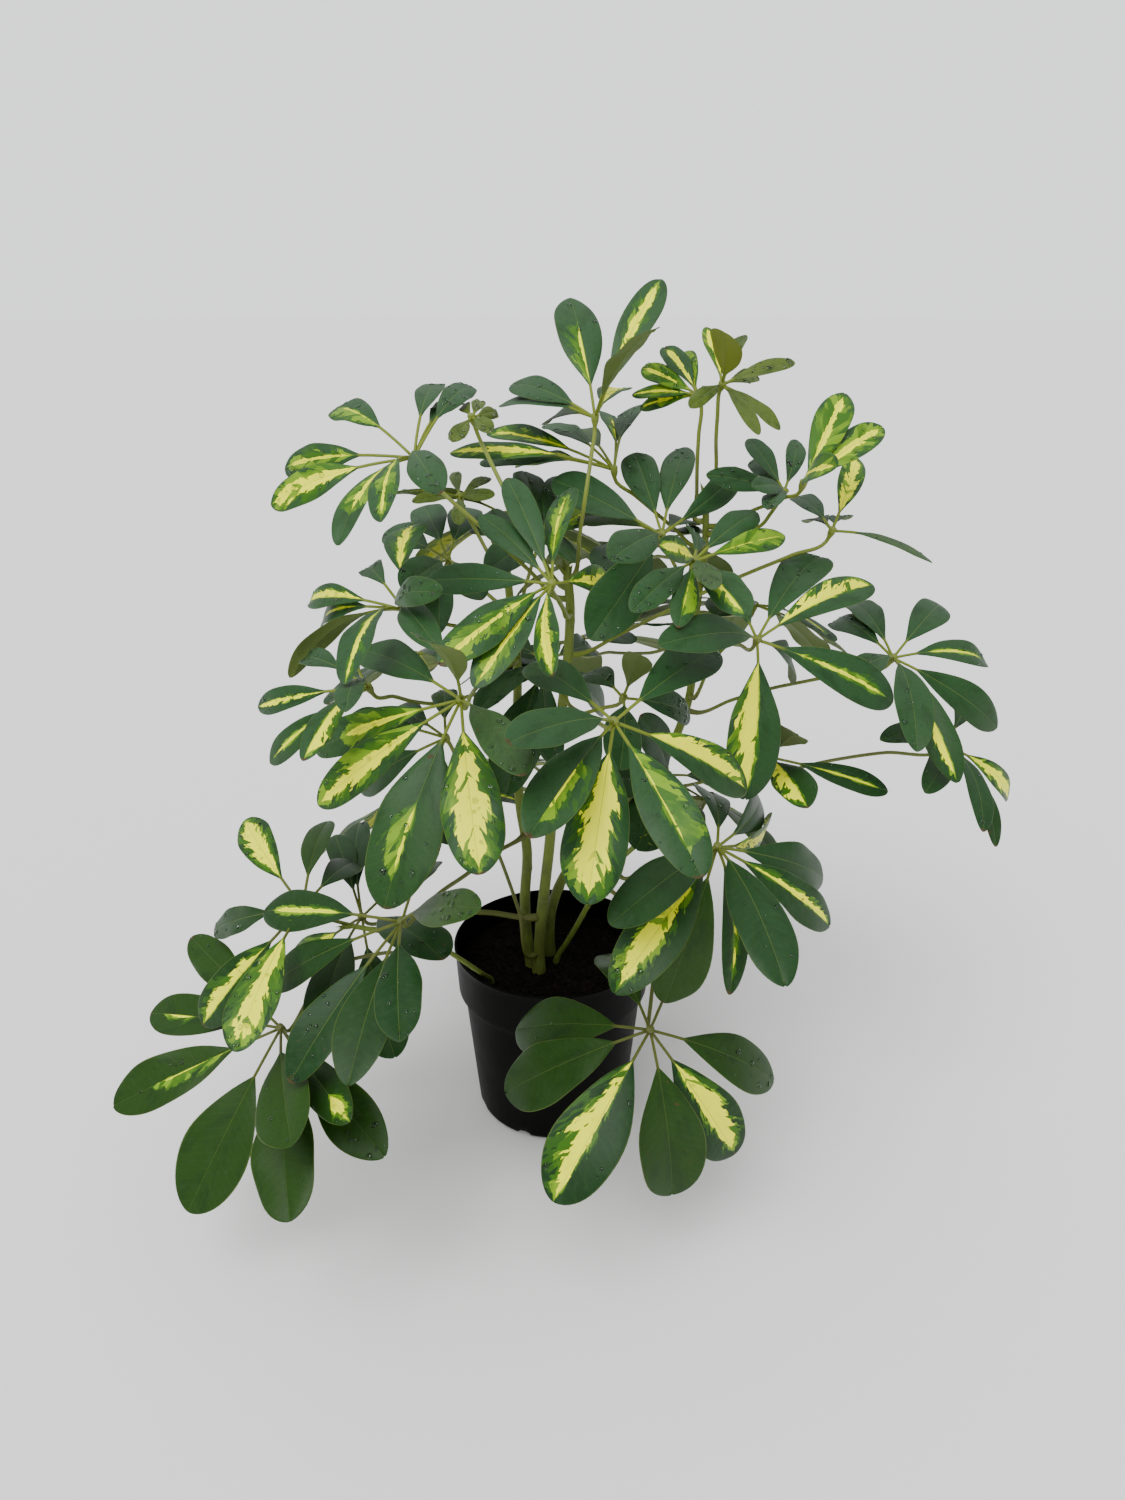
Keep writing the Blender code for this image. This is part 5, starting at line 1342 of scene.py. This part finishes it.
LEAF_LOOKS = {
    "leaf_front_gold": "VLjddkd",
    "leaf_left_gold": "VvAwdho",
    "leaf_centre_high": "dBBCddCl",
    "leaf_bottom_right": "DgEggggd",
    "leaf_right_low": "pgsdqddddV",
    "leaf_left_low": "dddsdhd",
    "leaf_left_high": "YmjvBdddd",
    "leaf_top_centre": "GroddoV",
    "leaf_right_mid": "sRLdddd",
    "leaf_right_edge": "dHsddddd",
    "leaf_bottom_left": "ggcggtug",
    "leaf_left_outer": "VHVgdd",
    "leaf_left_inner": "ddddddV",
    "leaf_left_back": "dddgd",
    "leaf_far_left": "sqLddd",
    "leaf_left_mid": "oqDsGdgd",
    "leaf_left_rear": "dddddd",
    "leaf_centre_right": "dddddodd",
    "leaf_centre_right_front": "FjbddoCd",
    "leaf_centre_back": "CndVrdod",
    "leaf_front_dark": "dddo",
    "leaf_middle": "dddddd",
    "leaf_top_middle": "ddgdbo",
    "leaf_middle_low": "ddddg",
    "leaf_right_stub": "sRod",
    "leaf_far_right": "Vddddd",
    "leaf_right_top_back": "oVddd",
    "leaf_right_high": "XXX",
    "leaf_right_young": "dddddd",
    "leaf_top_young": "XXGXX",
    "leaf_top_tip": "ooYooooo",
    "leaf_left_bud": "ooooo",
    "leaf_left_young": "ohoho",
    "leaf_back_right": "ddgsddd",
    "leaf_back_middle": "ddgdddd",
}
BACK_LOOKS = "dddVsdgldVsgd"

# A blade's grid, and how its shape varies: the ranges are of random draws, one for each leaflet.
SHARES_OUT = (0.05, 0.22, 0.46, 0.70, 0.87, 0.965, 1.0)
ACROSS_SHARES = np.array([-share for share in reversed(SHARES_OUT)] + [0.0] + list(SHARES_OUT))
BLADE_ROWS = 22
STALK_ROWS = 4
TIP_CROWDING = 1.6
LAST_SHARE = 0.9985
TIP_ROUND = 0.06
FLAT_AFTER = 0.10
STALK_PLUMP = 1.2
BLADE_HALF_THICK = 0.00028
MIDRIB_DEPTH = 0.0005
MIDRIB_HALF = 0.0009
MIDRIB_ON_TOP = 0.35
FOLD_RANGE = (0.4, 1.6)
CURL_RANGE = (0.0, 0.16)
WAVE_HEIGHT = (0.01, 0.09)
WAVES_ALONG = (1.2, 2.6)
WOBBLE = 0.035
WOBBLES_ALONG = 9
WOBBLE_STARTS = (0, 6)
LOPSIDED = 0.06
POINTED = (0.0, 0.22)
POINTED_LATE = 7
NOTCH_CHANCE = 0.35
NOTCH_DEPTH = (0.001, 0.004)
NOTCH_PLACE = 0.30
NOTCH_WIDTH = 0.35
NOTCH_LATE = 10
TONE_RANGE = (-0.07, 0.12)
YOUNG_TONE = 0.3
BOX_EDGE = 0.00005
LEAF_VALUES = ("blade_share", "blade_length", "yellow", "lime", "tone")
LEAF_APART = 100.0
LEAFLET_APART = 7.0
LEAF_SEED = 31


def leaflet_grid(hub, leaflet, stalk, draw):
    """A leaflet as rings along its midrib, and each corner's shares across and along, its side and lengths.

    A ring goes over the top and back underneath: place = middle + across s h + lift (lens + fold + waves),
    with the half-width h, the share s from -1 to 1, a lens of sqrt(1 - s^2), and a ridge under the midrib.
    """
    _, _, ratio, arch = leaflet
    length, ahead, across, over = leaflet_lie(hub, leaflet)
    blade = (1 - stalk) * length
    step = np.linspace(0.0, 1.0, BLADE_ROWS + 1)[1:]
    share = np.minimum(1 - (1 - step) ** TIP_CROWDING, LAST_SHARE)
    on_stalk = np.linspace(LEAFLET_ROOT / length, stalk, STALK_ROWS + 1)
    along = np.concatenate([on_stalk, stalk + (1 - stalk) * share])[:, None]
    on_blade = np.clip((along - stalk) / (1 - stalk), 0.0, 1.0)
    s = np.concatenate([ACROSS_SHARES, ACROSS_SHARES[-2:0:-1]])[None]
    side = np.where(np.arange(s.size) < len(ACROSS_SHARES), 1.0, -1.0)[None]
    wobble = WOBBLE * np.sin(WOBBLES_ALONG * on_blade + draw.uniform(*WOBBLE_STARTS, 2)[(s > 0).astype(int)])
    lop = 1 + LOPSIDED * draw.uniform(-1, 1) * np.sign(s)
    half = blade * ratio / 2 * blade_width(on_blade) * (1 + wobble) * lop
    half *= 1 - draw.uniform(*POINTED) * on_blade**POINTED_LATE
    plump = LEAFLET_STALK_HALF * STALK_PLUMP
    half = np.hypot(half, plump * np.sqrt(np.clip((1 - on_blade) / TIP_ROUND, 0.0, 1.0)))
    notch = draw.uniform(*NOTCH_DEPTH) * (draw.uniform() < NOTCH_CHANCE)
    off = (s - draw.uniform(-NOTCH_PLACE, NOTCH_PLACE)) / NOTCH_WIDTH
    notch = notch * np.exp(-(off**2)) * on_blade**NOTCH_LATE
    flat = np.clip(on_blade / FLAT_AFTER, 0.0, 1.0)
    thick = np.minimum(plump + (BLADE_HALF_THICK - plump) * flat, half)
    ridge = MIDRIB_DEPTH * flat * (1 - on_blade) ** 0.5 * np.exp(-((s * half / MIDRIB_HALF) ** 2))
    lens = side * thick * np.sqrt(1 - s**2) - np.where(side > 0, MIDRIB_ON_TOP, 1.0) * ridge
    fold = FOLD * draw.uniform(*FOLD_RANGE) * half * np.abs(s)
    curl = draw.uniform(*CURL_RANGE) * half * np.abs(s) ** 3
    phase = draw.uniform(0, 2 * math.pi, 2)
    turns = 2 * math.pi * draw.uniform(*WAVES_ALONG)
    wave = half * s**2 * draw.uniform(*WAVE_HEIGHT) * np.sin(turns * on_blade + np.where(s > 0, *phase))
    middle, lift = midrib(hub, length, ahead, over, arch, along)
    height = lens + (fold - curl + wave) * flat
    places = middle + (s * half)[..., None] * across + height[..., None] * lift - notch[..., None] * ahead
    shares = np.stack(np.broadcast_arrays(s, (along - stalk) / (1 - stalk), side), axis=-1)
    lengths = np.broadcast_arrays(CENTIMETRES * s * half, CENTIMETRES * blade * on_blade)
    return places, shares, np.stack(lengths, axis=-1)


STALK_SIDES = 10
STALK_STEP = 0.004
STALK_POINTS = 14
STALK_IN_STEM = 0.6
STALK_SHEATH = 0.011
KNOB_SPREAD = 1.6
KNOB_END = ((0.0005, 0.86), (0.0011, 0.5))
STOUTER_STALKS = {"leaf_left_inner": 0.0011, "leaf_left_low": 0.0003, "leaf_centre_high": 0.0004}


def stalk_grid(points, stem, stouter):
    """A leaf's stalk: a slim tube, wide where it clasps the stem, swelling to a rounded knob at its end.

    A stouter one has that much more radius at its foot, fading out towards the knob.
    """
    heart = points[0] - unit(points[1] - points[0]) * stem.thin * STALK_IN_STEM
    count = max(STALK_POINTS, int(distances(points)[-1] / STALK_STEP))
    line = smooth_route(np.vstack([heart, points[1:]]), count)
    along = distances(line)
    left = along[-1] - along
    radii = STALK_RADIUS + (STALK_FOOT_RADIUS - STALK_RADIUS) * np.exp(-((along / STALK_SHEATH) ** 2))
    radii = radii + stouter * left / along[-1]
    swell = np.clip(KNOB_SPREAD - left / (KNOB_BELOW + KNOB_ABOVE), 0.0, 1.0)
    radii = radii + (KNOB_RADIUS - STALK_RADIUS) * swell
    beyond, narrowed = np.array(KNOB_END).T
    end = line[-1] + unit(line[-1] - line[-2]) * beyond[:, None]
    radii = np.concatenate([radii, KNOB_RADIUS * narrowed])
    return tube_rings(np.vstack([line, end]), radii[:, None], STALK_SIDES)


def within_box(corners):
    """The corners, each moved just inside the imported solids' box where it lies outside."""
    low, high = np.array(cad_box)
    return np.clip(corners, low + BOX_EDGE, high - BOX_EDGE)


def leaf_piece(name, leaf, number, skins, draw):
    """A compound leaf: its stalk and all its leaflets as one mesh, each corner with its leaflet's own look.

    Also gives the tops of its blades, for the drops that stand on them.
    """
    hub, _, points, leaflets = placed_leaves[name]
    codes = LEAF_LOOKS.get(name)
    stalk, faces = closed(stalk_grid(points, STEMS[leaf.stem], STOUTER_STALKS.get(name, 0.0)))
    kinds = [1] * len(faces)
    meshes = [stalk]
    tables = {value: [np.zeros((len(stalk), 3))] for value in LEAF_VALUES}
    tops = []
    for place, leaflet in enumerate(leaflets):
        look = LOOKS[codes[place] if codes else draw.choice(list(BACK_LOOKS))]
        places, shares, lengths = leaflet_grid(hub, leaflet, leaf.stalk, draw)
        corners, more = closed(places, first=sum(map(len, meshes)))
        meshes.append(corners)
        faces += more
        tops.append(places[STALK_ROWS + 1:, :len(ACROSS_SHARES)])
        own = np.full((*lengths.shape[:2], 1), LEAF_APART * number + LEAFLET_APART * place)
        flat = np.concatenate([lengths, own], axis=-1).reshape(-1, 3)
        tone = look.tone + draw.uniform(*TONE_RANGE)
        values = (
            np.concatenate([shares.reshape(-1, 3), [(0.0, -1.0, 1.0), (0.0, 1.0, 1.0)]]),
            np.concatenate([flat, flat[[0, -1]]]),
            (look.left, look.right, look.start),
            (look.lime_left, look.lime_right, look.end),
            (tone, draw.uniform(), float(leaf.young and look.tone > YOUNG_TONE)),
        )
        for table, value in zip(tables.values(), values):
            table.append(np.broadcast_to(value, (len(corners), 3)))
    kinds += [0] * (len(faces) - len(kinds))
    corners = within_box(np.concatenate(meshes))
    piece = new_piece(name.replace("leaf", "foliage"), corners, faces, skins, kinds)
    for value, table in tables.items():
        set_attribute(piece, value, np.concatenate(table))
    return piece, tops


# The blade's colours. Its patterns are in centimetres along and across the blade.
LEAF_DARK = (0.0074, 0.038, 0.0070)
# Painted light and a painted sky sheen: the lighter, bluer green of the leaves high up.
LEAF_LIT_HIGH = (0.037, 0.104, 0.038)
LEAF_GREEN = (0.0160, 0.054, 0.0025)
LEAF_OLIVE = (0.050, 0.074, 0.0080)
LEAF_LIME = (0.190, 0.350, 0.010)
LEAF_MID = (0.040, 0.130, 0.0050)
LEAF_YELLOW = (0.980, 1.000, 0.008)
LEAF_RIB = (0.160, 0.230, 0.040)
LEAF_BACK = (0.125, 0.170, 0.036)
# The paler underside of young leaflets, brightened further as painted light shining through them.
YOUNG_BACK_LIT_THROUGH = (0.230, 0.270, 0.030)
LEAF_YOUNG = (0.120, 0.160, 0.014)
LEAF_SCORCH = (0.070, 0.042, 0.018)
STALK_GREEN = (0.165, 0.210, 0.022)
# Painted shade: the darker green of leaf stalks low down.
STALK_SHADED_LOW = (0.090, 0.106, 0.018)
# A painted sheen: grey-green mottles that stand for the sky's reflection on the blades.
SHEEN_GREY = (0.026, 0.066, 0.024)
# Painted shade on the leaves low down, and also the real dark green of blotches and fine grain.
LEAF_SHADE_AND_BLOTCH = (0.0050, 0.024, 0.0036)
LEAF_SPECK = (0.30, 0.36, 0.30)
LIT_HIGH_HEIGHTS = (0.24, 0.48)
SHADED_LOW_HEIGHTS = (0.10, 0.24)
STALK_SHADE_HEIGHTS = (0.22, 0.46)
STALK_TAN = (0.125, 0.130, 0.038)
STALK_STRIPE = (0.075, 0.105, 0.022)
TONGUE_SLANT = 1.35
VEIN_SLANT = 0.62
VEIN_STEP = 0.62
MARKED = 0.72
SCORCHED = 0.80


def blade_skin():
    """The blade's skin: yellow, lime and green zones, with a pale midrib, faint side veins, a pale margin,
    few brown marks and water specks, waxy on top and duller underneath."""
    skin = Skin("leaf_blade", Specular_IOR_Level=0.18)
    _, _, height = skin.parts(skin.places())
    across, along, own = skin.attribute("blade_length")
    share, way, side = skin.attribute("blade_share")
    left, right, start = skin.attribute("yellow")
    lime_left, lime_right, end = skin.attribute("lime")
    tone, chance, young = skin.attribute("tone")
    is_right = share > 0.0
    is_back = side < 0.0
    reach = abs(share)
    flat = skin.point(across, along, own)

    # How far the yellow and the lime reach: ragged by cells that are drawn out along the side veins.
    lean = along - abs(across) * TONGUE_SLANT
    patch_x, patch_y, patch_z = skin.parts(skin.cells(skin.point(across * 0.75, lean * 0.95, own), 1.0))
    tooth_x, tooth_y, _ = skin.parts(skin.cells(skin.point(across * 1.9, lean * 3.0, own), 1.0))
    ragged = (patch_x - 0.5) * 0.75 + (tooth_x - 0.5) * 0.40
    ragged_lime = (patch_y - 0.5) * 0.8 + (tooth_y - 0.5) * 0.45
    open_yellow = (way - start + 0.05).fades(0.0, 0.14) * (end + 0.02 - way).fades(0.0, 0.16)
    open_lime = (way - start + 0.08).fades(0.0, 0.16) * (end + 0.07 - way).fades(0.0, 0.14)
    yellow_reach = (left + (right - left) * is_right) * open_yellow * (ragged + 1.0)
    lime_reach = (lime_left + (lime_right - lime_left) * is_right) * open_lime * (ragged_lime + 1.0)
    island = (patch_z * 0.78 + tooth_y * 0.22).fades(0.87, 0.88)
    yellow = (yellow_reach - reach).fades(0.0, 0.025) * (1 - island)
    lime = (lime_reach - reach).fades(0.0, 0.03)
    middling = (lime_reach * 1.35 * (patch_z * 0.9 + tooth_x * 0.5 + 0.3) - reach).fades(0.0, 0.04)

    # Greens: painted shade low down, painted light and sheen up high, mottled painted sheen, blotches, fine
    # grain.
    soft = skin.noise(skin.point(across * 1.2, lean * 0.8, own), 1.0, 4.0)
    mottle = skin.noise(flat, 1.6, 5.0)
    blotch = skin.noise(skin.point(across, lean * 0.5, own * 2.3), 0.9, 6.0)
    grain = skin.noise(skin.point(across, along, own * 1.7), 7.0, 5.0)
    green = skin.mix((tone * 2.0).fades(0.0, 1.0), LEAF_DARK, LEAF_GREEN)
    green = skin.mix((tone * 2.0 - 1.0).fades(0.0, 1.0), green, LEAF_OLIVE)
    # Painted light and sheen: the leaves high up are lighter and bluer.
    green = skin.mix(height.fades(*LIT_HIGH_HEIGHTS) * 0.55, green, LEAF_LIT_HIGH)
    # Painted shade: the leaves low down are darkened.
    green = skin.mix((1 - height.fades(*SHADED_LOW_HEIGHTS)) * 0.22, green, LEAF_SHADE_AND_BLOTCH)
    green = skin.mix(young * 0.55, green, LEAF_YOUNG)
    # Painted sheen in grey-green mottles, less of it on the olive leaflets.
    green = skin.mix(mottle.fades(0.45, 0.72) * (0.34 - tone * 0.32), green, SHEEN_GREY)
    green = skin.mix(blotch.fades(0.48, 0.70) * 0.42, green, LEAF_SHADE_AND_BLOTCH)
    green = skin.mix(grain.fades(0.50, 0.70) * 0.30, green, LEAF_SHADE_AND_BLOTCH)
    green = skin.mix((soft * 0.6 + tooth_y * 0.4).fades(0.55, 0.75) * 0.25, green, LEAF_GREEN)
    green = skin.mix(middling * 0.55, green, LEAF_MID)
    zone = skin.mix((patch_x * 0.5 + soft * 0.7).fades(0.42, 0.78), LEAF_MID, LEAF_LIME)
    colour = skin.mix(lime * 0.92, green, zone)
    colour = skin.mix(yellow, colour, skin.mix(soft.fades(0.3, 0.8) * 0.14, LEAF_YELLOW, LEAF_LIME))

    # Veins, midrib and margin, and then the specks of dried water and the few brown marks and tips.
    vein = ((along - abs(across) * VEIN_SLANT + soft * 0.25) / VEIN_STEP).math("FRACT")
    off_vein = abs(vein - 0.5)
    veins = 1 - off_vein.fades(0.02, 0.09)
    ribs = 1 - (abs(across) + way * 0.018).fades(0.016, 0.042)
    margin = reach.fades(0.955, 0.985) * (way > 0.03)
    colour = skin.mix(veins * 0.03 + ribs * (0.50 - tone * 0.5) + margin * 0.40, colour, LEAF_RIB)
    specks = 1 - skin.cells(flat, 5.5, "Distance").fades(0.03, 0.07)
    colour = skin.mix(specks * (mottle > 0.52) * 0.45, colour, LEAF_SPECK)
    brown = skin.noise(skin.point(across, along, own * 3.1), 1.5, 3.0).fades(0.70, 0.74) * (chance > MARKED)
    scorch = (way + mottle * 0.06).fades(1.006, 1.018) * (chance > SCORCHED)
    colour = skin.mix(brown * 0.8 + scorch * 0.85, colour, LEAF_SCORCH)
    # Undersides duller; on young leaflets paler, and brighter by painted light shining through them.
    colour = skin.mix(is_back * (0.72 - ribs * 0.3), colour, skin.mix(young, LEAF_BACK, YOUNG_BACK_LIT_THROUGH))
    # The leaflets' own stalks, darker low down by a painted shade.
    stalk_green_shaded_low = skin.mix(height.fades(*STALK_SHADE_HEIGHTS), STALK_SHADED_LOW, STALK_GREEN)
    colour = skin.mix(1 - way.fades(-0.03, 0.035), colour, stalk_green_shaded_low)
    roughness = 0.36 + mottle * 0.14 + is_back * 0.2 + brown * 0.2
    relief = off_vein * -0.05 + mottle * 0.6 + skin.noise(flat, 26.0) * 0.10 - ribs
    return skin.finish(colour, roughness, relief, 0.40, 0.0006)


def stalk_skin():
    """A leaf stalk's skin: smooth yellow-green with fine stripes, a little browner in places, and darker low
    down, a painted shade.
    """
    skin = Skin("leaf_stalk", Specular_IOR_Level=0.35)
    x, y, z = skin.parts(skin.places())
    stripes = skin.noise(skin.point(x * 260, y * 260, z * 260), 1.0, 4.0)
    patches = skin.noise(skin.places(), 24.0)
    # Painted shade: darker low down.
    green = skin.mix(z.fades(*STALK_SHADE_HEIGHTS), STALK_SHADED_LOW, STALK_GREEN)
    colour = skin.mix(patches.fades(0.45, 0.75) * 0.7, green, STALK_TAN)
    colour = skin.mix(stripes.fades(0.5, 0.8) * 0.35, colour, STALK_STRIPE)
    return skin.finish(colour, 0.40 + stripes * 0.15, stripes, 0.3, 0.0003)


leaf_skins = [blade_skin(), stalk_skin()]
leaf_draw = np.random.default_rng(LEAF_SEED)
blade_tops = []
for number, (name, leaf) in enumerate(LEAVES.items()):
    piece, tops = leaf_piece(name, leaf, number, leaf_skins, leaf_draw)
    blade_tops += tops
    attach(piece, "root")
    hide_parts(name)


# The drops. The leaves are wet: clear drops of water stand on many of the leaflets that face upwards,
# mostly small ones with a few large ones among them.

DROPPED_SHARE = 0.60
DROPS = (6, 26)
DROP_RADIUS = (0.0005, 0.0023)
DROP_HEIGHT = 0.40
DROP_SIDES = 8
DROP_OUTLINE = ((0.98, -0.25), (1.0, 0.12), (0.82, 0.60), (0.45, 0.92))
DROP_REACH = 0.86
ROWS_KEPT_DRY = (2, 3)
DROP_SEED = 41
LEAST_UP = 0.3
WATER = (0.94, 0.98, 0.96)
WATER_GREEN = (0.84, 0.93, 0.84)


def wet_places(tops, draw):
    """Middles and upward directions of the drops, drawn on the blades' tops: here + u along + v beside."""
    middles, ups = [], []
    for top in tops:
        along = np.diff(top, axis=0)[:, :-1]
        beside = np.diff(top, axis=1)[:-1]
        up = np.cross(beside, along)
        up /= np.linalg.norm(up, axis=-1, keepdims=True)
        if up[..., 2].mean() < LEAST_UP or draw.uniform() > DROPPED_SHARE:
            continue
        count = draw.integers(*DROPS)
        row = draw.integers(ROWS_KEPT_DRY[0], len(up) - ROWS_KEPT_DRY[1], count)
        column = np.searchsorted(ACROSS_SHARES, draw.uniform(-DROP_REACH, DROP_REACH, count)) - 1
        u, v = draw.uniform(0, 1, (2, count, 1))
        middles.append(top[row, column] + u * along[row, column] + v * beside[row, column])
        ups.append(up[row, column])
    return np.concatenate(middles), np.concatenate(ups)


def standing_drops(tops, draw):
    """Corners and faces of the drops: middle + radius (way round times r + up h), with r and h from a dome's
    outline, and a corner at each end."""
    middle, up = wet_places(tops, draw)
    radius = DROP_RADIUS[0] + (DROP_RADIUS[1] - DROP_RADIUS[0]) * draw.uniform(0, 1, len(middle)) ** 2
    share, height = np.array(DROP_OUTLINE).T[..., None, None]
    tall = up * DROP_HEIGHT
    rings = ways_round(up, ring_turns(DROP_SIDES))[:, None] * share + tall[:, None, None] * height
    ends = tall[:, None] * np.array([DROP_OUTLINE[0][1], 1.0])[:, None]
    own = np.concatenate([rings.reshape(len(middle), -1, 3), ends], axis=1)
    corners = middle[:, None] + radius[:, None, None] * own
    _, each = closed(rings[0])
    firsts = (np.arange(len(middle)) * own.shape[1]).tolist()
    faces = [[corner + first for corner in face] for first in firsts for face in each]
    return within_box(corners.reshape(-1, 3)), faces


def water_skin():
    """Clear water, a little tinted by what washes off the leaves, with the faintest ripple on it."""
    skin = Skin("clear_water", IOR=1.33, Transmission_Weight=1.0)
    ripple = skin.noise(skin.places(), 900.0, 2.0)
    tint = skin.noise(skin.places(), 60.0, 2.0)
    return skin.finish(skin.mix(tint, WATER, WATER_GREEN), 0.02 + ripple * 0.04, ripple, 0.15, 0.0001)


drop_shape = standing_drops(blade_tops, np.random.default_rng(DROP_SEED))
drops = new_piece("water_drops", *drop_shape, [water_skin()])
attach(drops, "root")
